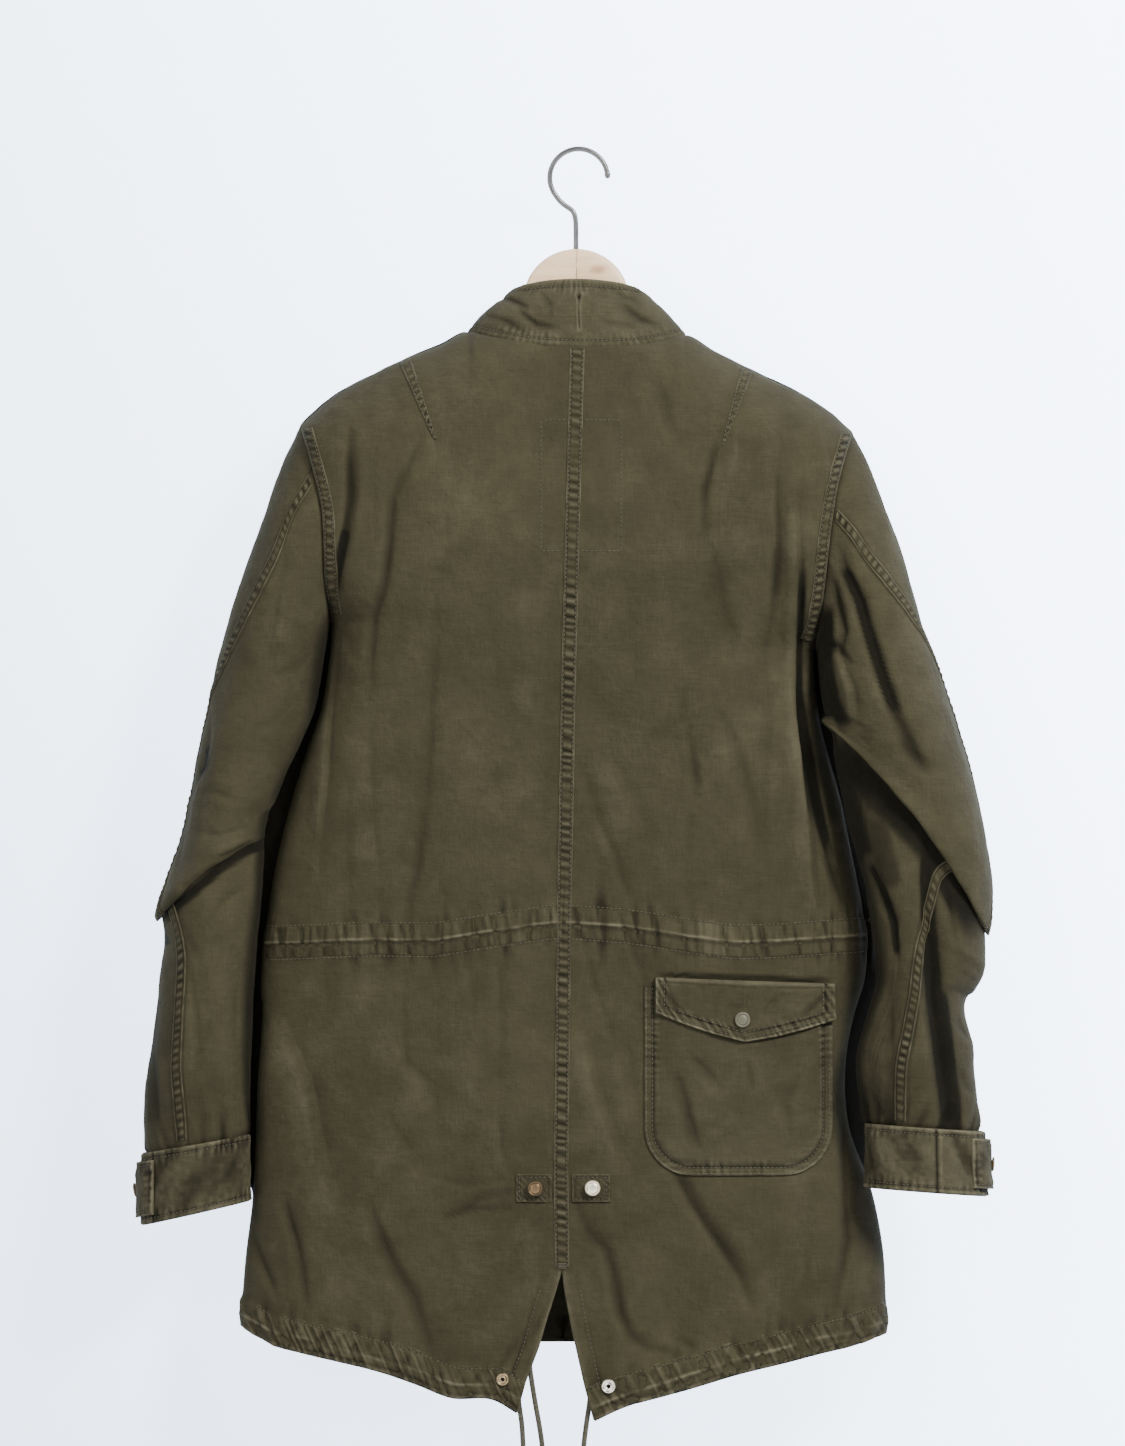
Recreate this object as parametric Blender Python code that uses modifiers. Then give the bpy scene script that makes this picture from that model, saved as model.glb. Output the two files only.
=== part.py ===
"""Fishtail parka hanging on a wooden hanger, cut panel by panel, in metres with +Z up.

The origin is the inner top of the hook. The back of the coat faces -Y, its front +Y, and
"left" and "right" are the sides seen from behind: left is -X. Tables are in millimetres.
Each panel is a grid of points on the coat's surface, moved inwards to give the cloth its
thickness, and every seam keeps a small gap. Pieces that lie on a panel are made from the
panel's own points, moved out.
"""

import math

import bmesh
import bpy
import numpy as np
from mathutils import Matrix, Vector

MM = 0.001
COLLECTION = "fishtail_parka"

# Cloth
CLOTH = 1.3  # one layer with its seams, mm
BAND = 2.2  # doubled and interlined cloth of collar and cuffs
PATCH = 1.4  # pocket, flap and tabs
GAP = 0.3  # between pieces that touch
SLEEVE_TRIM = 0.2  # drawn in from a sleeve's edges
LIFT = 0.4  # between a panel and what lies on it
BACK, FRONT = -1, 1
SIDES = {"left": -1, "right": 1}

CORD = 4.0
CORD_STEP = 10.0  # between the points of a cord's route
SNAP = 12.0
SNAP_HEIGHT = 0.17  # of the cap, as a share of its diameter
SNAP_TURN = 14  # steps round a cap
# share of the radius, share of the height: from the cap's middle over its rolled rim to its foot
SNAP_PROFILE = (
    (0, 1),
    (0.45, 0.96),
    (0.62, 0.72),
    (0.8, 1.02),
    (0.95, 0.72),
    (1, 0.25),
    (0.94, 0),
    (0, 0),
)

# Hook
HOOK_WIRE = 3.8
HOOK_RADIUS = 22.2
HOOK_X = 0.2  # of its loop's centre
HOOK_ARC = (4, 212, 26)  # degrees at its tip and at the reverse bend, points between them
HOOK_LEAVE = (10.6, 0, -17.0)  # run out of the loop into the bend
HOOK_ARRIVE = (0, 0, -22.0)  # run out of the bend into the stem
STEM_X = -1.9
STEM_TOP = -60.0

# The armhole's samples: one every 15 degrees from the shoulder point to the underarm.
ARM_STEPS = 12
ARM_STEP = 180 / ARM_STEPS
ROWS_BELOW = 6  # panel rows from the underarm to the top of the vent
ROWS_VENT = 2  # panel rows from there to the hem
VENT_TOP = -857.0

# Shares of the way from the centre line to the outer edge, a column of each panel.
SHARES = np.array((0, 0.13, 0.26, 0.34, 0.39, 0.5, 0.6, 0.7, 0.8, 0.89, 0.96, 1.0))
NECK_SHARE = 0.39
NECK_DEPTH = {BACK: 42.0, FRONT: 30.0}
SHOULDER_ROUND = 60.0  # drop over which the shoulder rounds from its ridge
SHOULDER_LEAST = 2.0  # the same at the shoulder point
SHOULDER_POWER = 8  # how late across the panel the rounding shrinks
SIDE_POWER = 3  # how late across the panel its depth falls to the side

# share, back left, back right, front left, front right: heights of the top line
TOP = np.array(
    (
        (0.00, -151.0, -151.0, -205.0, -205.0),
        (0.13, -149.5, -150.5, -201.0, -202.0),
        (0.26, -144.5, -148.0, -188.0, -190.0),
        (0.34, -140.5, -144.0, -165.0, -168.0),
        (0.39, -138.0, -141.0, -138.0, -141.0),
        (0.50, -148.5, -153.3, -148.5, -153.3),
        (0.60, -157.0, -163.7, -157.0, -163.7),
        (0.70, -166.5, -174.5, -166.5, -174.5),
        (0.80, -177.5, -184.5, -177.5, -184.5),
        (0.90, -191.0, -197.5, -191.0, -197.5),
        (1.00, -210.4, -216.0, -210.4, -216.0),
    )
)
# share, back left, back right, front left, front right: heights of the hem
HEM = np.array(
    (
        (0.00, -966.0, -972.0, -915.0, -915.0),
        (0.10, -955.5, -962.5, -915.0, -915.0),
        (0.25, -954.0, -953.0, -914.0, -914.0),
        (0.38, -944.0, -945.0, -913.0, -913.0),
        (0.50, -935.5, -937.0, -912.0, -912.0),
        (0.68, -926.0, -927.0, -910.0, -911.0),
        (0.80, -920.0, -920.0, -908.0, -909.0),
        (0.90, -914.0, -914.5, -905.0, -908.0),
        (1.00, -901.0, -906.0, -901.0, -906.0),
    )
)
PANEL_COLUMN = {
    (BACK, "left"): 1,
    (BACK, "right"): 2,
    (FRONT, "left"): 3,
    (FRONT, "right"): 4,
}
# height, x of the armhole line and, below the underarm, of the side fold
EDGE = {
    "left": np.array(
        (
            (-210.4, -213.5),
            (-232, -207),
            (-256, -200.5),
            (-271, -197.2),
            (-300, -195.3),
            (-338, -194.0),
            (-361, -190.0),
            (-398, -192.3),
            (-431, -198.5),
            (-455, -207),
            (-498, -220),
            (-559, -234.5),
            (-609, -241.5),
            (-637, -244),
            (-660, -243),
            (-715, -246.3),
            (-759, -247.7),
            (-807, -250.3),
            (-845, -255),
            (-901, -259.3),
        )
    ),
    "right": np.array(
        (
            (-216, 210.4),
            (-235, 204.5),
            (-253, 199.7),
            (-290, 193.5),
            (-334, 188.6),
            (-353, 186.0),
            (-381, 181.0),
            (-407, 181.5),
            (-439, 185.5),
            (-470, 193.5),
            (-494, 200.3),
            (-533, 208.5),
            (-559, 213.8),
            (-583, 218.9),
            (-609, 221.5),
            (-636, 219.5),
            (-661, 212),
            (-700, 205),
            (-745, 207),
            (-801, 226),
            (-834, 232.6),
            (-906, 236.8),
        )
    ),
}
# height, x of the centre-back seam and, below the vent, of each tail's inner edge
CENTRE = {
    (BACK, "left"): np.array(
        ((-151, -0.8), (-303, -5), (-421, -8), (-589, -11.1), (-781, -13.4), (-857, -12.5),
         (-871, -16.5), (-898, -25), (-916, -30), (-942, -40), (-966, -46.5))
    ),
    (BACK, "right"): np.array(
        ((-151, -0.8), (-303, -5), (-421, -8), (-589, -11.1), (-781, -13.4), (-857, -12.5),
         (-869, -11.5), (-904, -5), (-945, 4.2), (-972, 11.5))
    ),
    (FRONT, "left"): np.array(((-205, -2), (-915, -12))),
    (FRONT, "right"): np.array(((-205, -2), (-915, -12))),
}
# height, depth of the back, depth of the front
DEPTH = np.array(
    (
        (-138, 44, 36),
        (-210, 48, 42),
        (-300, 53, 46),
        (-400, 51, 46),
        (-500, 47, 43),
        (-606, 42, 39),
        (-700, 46, 42),
        (-800, 49, 45),
        (-915, 52, 46),
        (-972, 54, 46),
    )
)
ARMHOLE_DEPTH = 40.0
UNDERARM = {"left": -361.0, "right": -381.0}
ARM_SPREAD = 0.8  # lean of the armhole's rim towards the sleeve

FOLD_START = 0.12  # share from the centre line over which the folds rise
FOLD_POWER = 6  # how late across the panel they fade
FOLD_ENDS = 0.8  # how soon along its run a fold rises
# side, face, x, top, bottom, half width, height: the largest soft folds of the body
FOLDS = (
    ("left", BACK, -150, -215, -400, 26, -4.0),
    ("left", BACK, -176, -300, -560, 20, 5.0),
    ("left", BACK, -95, -610, -900, 34, -4.0),
    ("left", BACK, -150, -640, -930, 26, 5.0),
    ("left", BACK, -215, -760, -905, 22, 4.0),
    ("right", BACK, 150, -240, -420, 16, -5.0),
    ("right", BACK, 168, -270, -560, 18, 5.5),
    ("right", BACK, 30, -835, -960, 22, 5.0),
    ("right", BACK, 78, -800, -960, 22, -5.0),
    ("right", BACK, 200, -800, -905, 20, 4.5),
    ("left", FRONT, -140, -300, -600, 30, 5.0),
    ("left", FRONT, -110, -640, -915, 30, 5.0),
    ("left", FRONT, -190, -680, -905, 24, -4.0),
    ("right", FRONT, 130, -320, -600, 30, 5.0),
    ("right", FRONT, 95, -650, -915, 32, -4.0),
    ("right", FRONT, 175, -660, -905, 26, 5.0),
)

# Sleeve rings below the armhole. outer x, z and inner x, z are the ends seen from behind;
# depth is across, front to back, at the middle y; bow lifts the ring's middle;
# seam is the angle of the sleeve's back seam, from the outer end.
SLEEVE_COLUMNS = ("outer_x", "outer_z", "inner_x", "inner_z", "depth", "y", "bow", "seam")
SLEEVE = {
    "left": np.array(
        (
            (-228, -243, -191.6, -368, 86, -1, 0, 61),
            (-242, -280, -193.5, -377, 90, -2, 0, 60),
            (-254, -314, -195.8, -390, 93, -3, 0, 54),
            (-265, -349, -199.2, -409, 94, -4, 0, 44),
            (-275.8, -389, -204.0, -431, 94, -5, 0, 28),
            (-284.5, -425, -213.5, -455, 94, -6, 0, 8),
            (-291.4, -458, -224.0, -479, 93, -7, 0, -6),
            (-298, -491, -231.5, -498, 92, -8, 0, -10),
            (-304, -522, -237.5, -512, 92, -8, 0, -6),
            (-315, -558, -239.5, -527, 95, -9, 2, 6),
            (-324, -585, -241.0, -541, 97, -10, 6, 22),
            (-316, -574, -244.0, -543, 85, -10, 6, 36),
            (-317.5, -609, -244.5, -572, 86, -11, 2, 48),
            (-321, -632, -247.5, -606, 84, -11, 0, 58),
            (-325.5, -668, -250.8, -650, 80, -12, 0, 62),
            (-331, -707, -252.2, -692, 77, -12, 0, 66),
            (-333, -740, -252.2, -728, 72, -12, 0, 72),
            (-333.2, -768, -252.6, -754, 66, -12, 0, 75),
        )
    ),
    "right": np.array(
        (
            (223, -243, 183.6, -388, 87, -2, 0, 72),
            (236, -275, 184.3, -398, 91, -4, 0, 65),
            (248, -309, 185.2, -408, 94, -6, 0, 53),
            (260, -345, 186.2, -418, 96, -9, 0, 38),
            (272, -384, 187.3, -427, 98, -12, 2, 12),
            (287, -428, 189.0, -433, 100, -15, 6, -8),
            (303, -482, 190.5, -437, 100, -18, 10, -14),
            (313, -530, 192.0, -441, 98, -21, 14, -14),
            (318, -572, 193.5, -445, 94, -23, 17, -8),
            (314, -605, 195.0, -449, 90, -25, 19, 4),
            (304, -588, 200.5, -452, 74, -25, 21, 26),
            (306, -612, 204.0, -480, 74, -26, 13, 50),
            (306, -627, 212.5, -523, 74, -27, 6, 66),
            (302, -640, 219.5, -562, 74, -28, 2, 76),
            (296.5, -650, 226.5, -603, 76, -29, 0, 84),
            (296.0, -662, 229.0, -636, 78, -30, 0, 92),
            (302, -684, 221.0, -668, 76, -31, 0, 102),
            (303, -705, 215.0, -696, 74, -31, 0, 108),
            (306, -730, 216.5, -722, 70, -30, 0, 112),
            (308.5, -751, 220.5, -745, 65, -30, 0, 115),
        )
    ),
}
# The back seam's angle at the armhole, a multiple of ARM_STEP.
ARM_SEAM = {"left": 60, "right": 75}
# outer x, z, inner x, z, depth, y of each cuff's lower end
CUFF_END = {
    "left": (-333.5, -823.5, -252.6, -805, 64, -12),
    "right": (311.5, -801, 218.5, -794, 64, -30),
}
TAB_REACH = 52.0  # degrees forward of the cuff's outer end
TAB_BACK = 0.8  # reach the other way, as a share of that
TAB_STAND = 3.2  # of the tab's middle off the cuff
TAB_ROWS = (0.14, 0.5, 0.86)  # shares down the cuff
TAB_COLUMNS = 9
CUFF_SNAP = {"left": -10.0, "right": 0.0}  # degrees from the cuff's outer end
CUFF_SNAP_LIFT = 1.0  # over the tab, which curves away under the cap
SPOT = 8.0  # degrees each way over which the tab's slope is read

# Collar: its upper ring's middle, half width, depths and heights
COLLAR_X = -2.0
COLLAR_DIP = 1.2  # power with which its edge falls from the back to the sides
COLLAR_SWELL = 2.5
COLLAR_ROWS = 4
COLLAR_TOP = {"half_width": 47.5, BACK: 25.0, FRONT: 24.0}
COLLAR_TOP_HEIGHT = {"back": -98.5, "side": -107.0, "front": -152.0}

# Back pocket: outline of the bag and flap on the right back panel
POCKET = {"left": 53.5, "right": 191.5, "top": -640.0, "bottom": -786.0, "bulge": 2.6, "lift": 0.75}
FLAP = {"left": 59.0, "right": 194.5, "top_left": -633.4, "top_right": -638.4}
FLAP_SIDE_DROP = 27.0
FLAP_POINT_DROP = 47.0
FLAP_CLEAR = 0.5  # between the flap and the bag, besides the lift
FLAP_SNAP = (124.6, -666.0)
POCKET_GRID = (13, 9)  # columns, rows
FLAP_GRID = (9, 4)
SWELL_POWER = 6

# name, side, x from, x to, top, bottom of the snap tabs beside the seam
VENT_TABS = (
    ("vent_tab_left", "left", -47.8, -20.5, -783.7, -805.2),
    ("vent_tab_right", "right", -5.0, 24.1, -783.7, -805.2),
)
# name, side, x, z, diameter of the snap caps, and what is under them
BACK_SNAPS = (
    ("vent_snap_left", "left", -33.2, -794.8, 12.0, PATCH + LIFT),
    ("vent_snap_right", "right", 10.7, -794.4, 12.0, PATCH + LIFT),
    ("tail_snap_left", "left", -58.1, -940.6, 9.6, 0.0),
    ("tail_snap_right", "right", 23.2, -945.5, 10.7, 0.0),
)
TAB_GRID = (4, 3)
PLACKET_SHARE = 0.14
PLACKET_CENTRE = 0.0001
PLACKET_END = 0.988  # share down the fronts
PLACKET_SNAP_X = 4.0
PLACKET_SNAPS = (-235.0, -345.0, -455.0, -565.0, -675.0, -785.0)

# Drawcord ends: route points x, y, z
CORDS = {
    "drawcord_left": ((-46.2, -49.4, -946), (-45.6, -49.5, -958), (-43.5, -49.6, -974),
                      (-42.3, -49.8, -992), (-41.5, -50, -1030), (-43, -50, -1075),
                      (-41, -50, -1118)),
    "drawcord_middle": ((-38.8, -48.4, -918), (-37.2, -48.8, -932), (-35.2, -49.2, -946),
                        (-32.5, -49.5, -962), (-29.8, -49.8, -977), (-27.7, -50, -992),
                        (-26, -50, -1030), (-27.6, -50, -1068), (-25.5, -50, -1102)),
    "drawcord_right": ((9.6, -49.4, -948), (8.2, -49.5, -960), (6, -49.6, -975),
                       (4, -49.8, -992), (3, -50, -1030), (4.8, -50, -1078),
                       (3.4, -50, -1124)),
}
KNOT = (5.0, 5.0, 6.5)  # half sizes
KNOT_TURN = (10, 8)  # segments, rings

# Hanger, seen from behind: dome over the neck, then the arms under the shoulder seams
DOME_TOP = -74.8
DOME_RADIUS = 41.5
DOME_X = -1.6
DOME_REACH = 0.95  # of its radius, out from the centre
# distance out, height: from the dome down to the arm
NECK_WOOD = np.array(((39.0, -108), (45, -121.5), (52, -132), (60, -141), (72, -150.5), (84, -153)))
ARM_FROM = 98.0  # the arm follows the shoulder seam from here out
ARM_DROP = 3.1  # of the arm's top under the shoulder seam
ARM_HEIGHT = {"centre": 52.0, "end": 20.0}
ARM_END_SHARE = 0.95
WOOD_THICKNESS = 12.0
HANGER_SECTIONS = 32
SECTION_STEP = 30  # degrees between a section's points
SECTION_WIDE = 0.55  # power that squares the section across
SECTION_TALL = 0.7  # and up
TIP_FROM = 0.93  # share along the arm at which its end starts to round
TIP_LEAST = 0.02  # left of the squared height at the very end
TIP_THIN = 0.35  # left of the thickness there

OLIVE = (0.098, 0.084, 0.048)
OLIVE_WORN = (0.125, 0.107, 0.064)
WOOD = (0.78, 0.60, 0.44)
STEEL = (0.55, 0.55, 0.56)
BRASS = (0.42, 0.33, 0.18)


def smooth(x, xs, ys):
    """A cubic through the points (xs, ys), each with the slope of its neighbours, level past the ends."""
    x = np.clip(x, xs[0], xs[-1])
    slopes = np.gradient(ys, xs)
    i = np.clip(np.searchsorted(xs, x) - 1, 0, len(xs) - 2)
    span = xs[i + 1] - xs[i]
    t = (x - xs[i]) / span
    return (
        (1 + 2 * t) * (1 - t) ** 2 * ys[i]
        + t * (1 - t) ** 2 * span * slopes[i]
        + t**2 * (3 - 2 * t) * ys[i + 1]
        - t**2 * (1 - t) * span * slopes[i + 1]
    )


def unit(v):
    return v / np.maximum(np.linalg.norm(v, axis=-1, keepdims=True), 1e-9)


def top_line(side, face, share):
    return np.interp(share, TOP[:, 0], TOP[:, PANEL_COLUMN[face, side]])


def hem_line(side, face, share):
    return np.interp(share, HEM[:, 0], HEM[:, PANEL_COLUMN[face, side]])


def edge_x(side, z):
    return smooth(-z, -EDGE[side][:, 0], EDGE[side][:, 1])


def centre_x(side, face, z):
    table = CENTRE[face, side]
    return np.interp(-z, -table[:, 0], table[:, 1])


def armhole_depth(side, z):
    """Half the armhole's depth: an ellipse from the shoulder point down to the underarm."""
    shoulder = top_line(side, BACK, 1)
    middle = (shoulder + UNDERARM[side]) / 2
    half = (shoulder - UNDERARM[side]) / 2
    return ARMHOLE_DEPTH * np.sqrt(np.clip(1 - ((z - middle) / half) ** 2, 0, 1))


def fold_height(side, face, x, z, share):
    """Soft ridges and troughs, each fading at its ends and towards the panel's seams."""
    height = np.zeros_like(x)
    for of_side, of_face, at, top, bottom, width, peak in FOLDS:
        if (of_side, of_face) != (side, face):
            continue
        along = np.clip((top - z) / (top - bottom), 0, 1)
        height += peak * np.exp(-(((x - at) / width) ** 2)) * np.sin(np.pi * along) ** FOLD_ENDS
    return height * (1 - share**FOLD_POWER) * np.clip(share / FOLD_START, 0, 1)


def panel_point(side, face, share, down):
    """A point of the body: share of the way out from the centre line, down from top to hem."""
    top = top_line(side, face, share)
    z = top + (hem_line(side, face, share) - top) * down
    inner = centre_x(side, face, z)
    x = inner + share * (edge_x(side, z) - inner)
    full = smooth(-z, -DEPTH[:, 0], DEPTH[:, 1 if face == BACK else 2])
    arm = armhole_depth(side, z)
    body = arm + (full - arm) * np.sqrt(1 - share**SIDE_POWER)
    body = body + fold_height(side, face, x, z, share)
    neck = NECK_DEPTH[face] * np.sqrt(np.clip(1 - (share / NECK_SHARE) ** 2, 0, 1))
    rounding = SHOULDER_ROUND * (1 - share**SHOULDER_POWER) + SHOULDER_LEAST
    ridge = np.sqrt(1 - (1 - np.clip((top - z) / rounding, 0, 1)) ** 2)
    return np.stack([x, face * (neck + (body - neck) * ridge), z], axis=-1)


def panel_rows(side):
    """Shares of the way down: the armhole's samples, then rows to the vent and to the hem."""
    shoulder = top_line(side, BACK, 1)
    hem = hem_line(side, BACK, 1)
    angles = np.radians(np.arange(ARM_STEPS + 1) * ARM_STEP)
    heights = (shoulder + UNDERARM[side]) / 2 + (shoulder - UNDERARM[side]) / 2 * np.cos(angles)
    arm = (shoulder - heights) / (shoulder - hem)
    vent = (TOP[0, 1] - VENT_TOP) / (TOP[0, 1] - hem_line(side, BACK, 0))
    below = np.linspace(arm[-1], vent, ROWS_BELOW + 1)[1:]
    return np.concatenate([arm, below, np.linspace(vent, 1, ROWS_VENT + 1)[1:]])


def panel_grid(side, face):
    down, share = np.meshgrid(panel_rows(side), SHARES, indexing="ij")
    return panel_point(side, face, share, down)


def arm_normals(side, face):
    """Directions out of the armhole's rim, shared by the body and the sleeve."""
    angle = np.radians(np.arange(ARM_STEPS + 1) * ARM_STEP)
    half = (top_line(side, BACK, 1) - UNDERARM[side]) / 2
    out = SIDES[side] * ARM_SPREAD * np.abs(np.cos(angle))
    radial = np.stack([0 * angle, face * np.sin(angle) / ARMHOLE_DEPTH, np.cos(angle) / half], -1)
    return unit(unit(radial) + np.stack([out, 0 * out, 0 * out], axis=-1))


def grid_normals(points, towards):
    """Cross product of the grid's two directions, turned to the side that `towards` points to."""
    normals = unit(np.cross(np.gradient(points, axis=0), np.gradient(points, axis=1)))
    return normals if (normals * towards).sum() > 0 else -normals


def panel_normals(side, face, points):
    """Normals out of the panel, replaced along each seam by directions that both pieces share."""
    normals = grid_normals(points, np.array((0.0, face, 0.0)))
    out = SIDES[side]
    neck = SHARES <= NECK_SHARE
    across = SHARES[neck] / NECK_SHARE
    radial = np.stack([out * across, face * np.sqrt(1 - across**2), 0.5 + 0 * across], axis=-1)
    along = np.gradient(points[0], axis=0)
    ridge = unit(np.stack([-along[:, 2] * out, 0 * along[:, 2], along[:, 0] * out], axis=-1))
    normals[0] = ridge
    normals[0, neck] = unit(radial)
    fall = np.gradient(points[:, -1], axis=0)
    normals[:, -1] = unit(np.stack([-fall[:, 2] * out, 0 * fall[:, 2], fall[:, 0] * out], axis=-1))
    normals[: ARM_STEPS + 1, -1] = arm_normals(side, face)
    return normals


def trimmed(points, gap=GAP / 2, closed=False):
    """The grid with its free edges drawn in along the surface."""
    points = points.copy()
    for grid in (points,) if closed else (points, points.swapaxes(0, 1)):
        grid[0] += gap * unit(grid[1] - grid[0])
        grid[-1] += gap * unit(grid[-2] - grid[-1])
    return points


def grid_faces(rows, columns, closed):
    """Quads of a grid, which joins its last column to its first where it is closed."""
    r = np.arange(rows - 1)[:, None]
    c = np.arange(columns if closed else columns - 1)[None, :]
    across = (c + 1) % columns
    quads = (r * columns + c, r * columns + across, (r + 1) * columns + across, (r + 1) * columns + c)
    return np.stack(quads, axis=-1).reshape(-1, 4)


def rim_loops(rows, columns, closed):
    """Point numbers round each free rim of the grid."""
    index = np.arange(rows * columns).reshape(rows, columns)
    if closed:
        return [index[0], index[-1]]
    return [np.concatenate([index[0, :-1], index[:-1, -1], index[-1, :0:-1], index[:0:-1, 0]])]


def add_mesh(name, points, faces, material):
    mesh = bpy.data.meshes.new(name)
    mesh.from_pydata((np.asarray(points) * MM).tolist(), [], [list(face) for face in faces])
    solid = bmesh.new()
    solid.from_mesh(mesh)
    bmesh.ops.recalc_face_normals(solid, faces=solid.faces)
    solid.to_mesh(mesh)
    solid.free()
    mesh.materials.append(material)
    obj = bpy.data.objects.new(name, mesh)
    bpy.data.collections[COLLECTION].objects.link(obj)
    return obj


def add_cloth(name, outer, normals, thickness, material, closed=False, gap=GAP / 2):
    """A wall of cloth: the outer grid, the same grid moved in by the thickness, and the rims.

    The thickness is one number, or one for each row.
    """
    inner = trimmed(outer - normals * np.reshape(thickness, (-1, 1, 1)), gap, closed)
    outer = trimmed(outer, gap, closed)
    rows, columns = outer.shape[:2]
    count = rows * columns
    quads = grid_faces(rows, columns, closed)
    faces = [*quads, *(quads[:, ::-1] + count)]
    for loop in rim_loops(rows, columns, closed):
        following = np.roll(loop, -1)
        faces += list(np.stack([following, loop, loop + count, following + count], axis=-1))
    points = np.concatenate([outer.reshape(-1, 3), inner.reshape(-1, 3)])
    obj = add_mesh(name, points, faces, material)
    obj.data.shade_smooth()
    obj.data.set_sharp_from_angle(angle=math.radians(40))
    return obj


def principled(name, colour, roughness, metallic=0.0):
    material = bpy.data.materials.new(name)
    material.use_nodes = True
    shader = material.node_tree.nodes["Principled BSDF"]
    shader.inputs["Base Color"].default_value = (*colour, 1)
    shader.inputs["Roughness"].default_value = roughness
    shader.inputs["Metallic"].default_value = metallic
    return material


def clear_scene():
    for obj in list(bpy.data.objects):
        bpy.data.objects.remove(obj, do_unlink=True)


def build_panels(material):
    """The four body panels. Returns their grids and normals, which other pieces lie on."""
    surfaces = {}
    for side in SIDES:
        for face, word in ((BACK, "back"), (FRONT, "front")):
            points = panel_grid(side, face)
            normals = panel_normals(side, face, points)
            surfaces[side, face] = points, normals
            add_cloth(f"{word}_{side}", points, normals, CLOTH, material)
    return surfaces


def on_panel(surfaces, side, face, share, down):
    """Points and normals of the panel's own facets at shares across and down."""
    points, normals = surfaces[side, face]
    column = np.interp(share, SHARES, np.arange(len(SHARES)))
    row = np.interp(down, panel_rows(side), np.arange(len(points)))
    c = np.clip(column.astype(int), 0, len(SHARES) - 2)
    r = np.clip(row.astype(int), 0, len(points) - 2)
    u = (column - c)[..., None]
    v = (row - r)[..., None]

    def mixed(grid):
        upper = grid[r, c] * (1 - u) + grid[r, c + 1] * u
        lower = grid[r + 1, c] * (1 - u) + grid[r + 1, c + 1] * u
        return upper * (1 - v) + lower * v

    return mixed(points), unit(mixed(normals))


def shares_of(side, face, x, z):
    """The shares across and down of the panel point seen at x, z."""
    inner = centre_x(side, face, z)
    share = (x - inner) / (edge_x(side, z) - inner)
    top = top_line(side, face, share)
    return share, (z - top) / (hem_line(side, face, share) - top)


def on_back(surfaces, side, x, z):
    share, down = shares_of(side, BACK, x, z)
    return on_panel(surfaces, side, BACK, share, down)


def sleeve_grid(side, surfaces):
    """Rings of the sleeve: the armhole, then an ellipse for each row of the table.

    Columns run from the back seam over the back, the inner end, the front and the outer end.
    """
    back_steps = (180 - ARM_SEAM[side]) // int(ARM_STEP)
    steps = 2 * ARM_STEPS
    arm = {face: surfaces[side, face][0][: ARM_STEPS + 1, -1] for face in (BACK, FRONT)}
    rims = {face: arm_normals(side, face) for face in (BACK, FRONT)}
    ring, rim = [], []
    for i in range(steps):
        at = (ARM_SEAM[side] // int(ARM_STEP) + i) % steps
        face, row = (BACK, at) if at <= ARM_STEPS else (FRONT, steps - at)
        ring.append(arm[face][row])
        rim.append(rims[face][row])
    rings = [np.array(ring)]
    for row in SLEEVE[side]:
        value = dict(zip(SLEEVE_COLUMNS, row))
        back = np.linspace(value["seam"], 180, back_steps + 1)
        front = np.linspace(180, 360 + value["seam"], steps - back_steps + 1)[1:-1]
        rings.append(ellipse(value, np.radians(np.concatenate([back, front]))))
    grid = np.array(rings)
    wrapped = np.concatenate([grid[:, -1:], grid, grid[:, :1]], axis=1)
    normals = grid_normals(wrapped, wrapped - wrapped.mean(axis=1, keepdims=True))[:, 1:-1]
    normals[0] = rim
    normals[-1] = flattened(normals[-1], ring_axis(SLEEVE[side][-1]))
    return grid, normals, back_steps


def ring_axis(row):
    """The direction down a sleeve through the ring of a table row."""
    across = np.array((row[0] - row[2], 0, row[1] - row[3]))
    return unit(np.cross(across, (0, 1, 0)))


def flattened(normals, axis):
    return unit(normals - (normals @ axis)[..., None] * axis)


def ellipse(value, angle):
    """A sleeve ring: from the outer end at angle 0, over the back at 90, to the inner end."""
    outer = np.array((value["outer_x"], value["y"], value["outer_z"]))
    inner = np.array((value["inner_x"], value["y"], value["inner_z"]))
    half = (outer - inner) / 2
    lift = np.cross(unit(half), (0, 1, 0))
    lift = lift if lift[2] > 0 else -lift
    cos, sin = np.cos(angle)[:, None], np.sin(angle)[:, None]
    across = np.array((0, value["depth"] / 2, 0))
    return (outer + inner) / 2 + half * cos - across * sin + lift * value["bow"] * sin**2


def build_sleeves(surfaces, material):
    for side in SIDES:
        grid, normals, back_steps = sleeve_grid(side, surfaces)
        grid = np.concatenate([grid, grid[:, :1]], axis=1)
        normals = np.concatenate([normals, normals[:, :1]], axis=1)
        for word, columns in (("under", slice(back_steps + 1)), ("upper", slice(back_steps, None))):
            cloth = grid[:, columns], normals[:, columns]
            add_cloth(f"{word}sleeve_{side}", *cloth, CLOTH, material, gap=SLEEVE_TRIM)


def cuff_grid(side, rows, angles):
    """Rings from the sleeve's end to the cuff's end, and the normals out of them."""
    start = dict(zip(SLEEVE_COLUMNS, SLEEVE[side][-1]))
    end = dict(zip(SLEEVE_COLUMNS, (*CUFF_END[side], 0, 0)))
    grid, centres = [], []
    for row in rows:
        value = {key: start[key] + (end[key] - start[key]) * row for key in end}
        grid.append(ellipse(value, angles))
        centres.append(ellipse(value, np.array((0, np.pi))).mean(axis=0))
    grid, centres = np.array(grid), np.array(centres)
    axis = ring_axis(SLEEVE[side][-1])
    return grid, flattened(grid - centres[:, None], axis), axis


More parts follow.
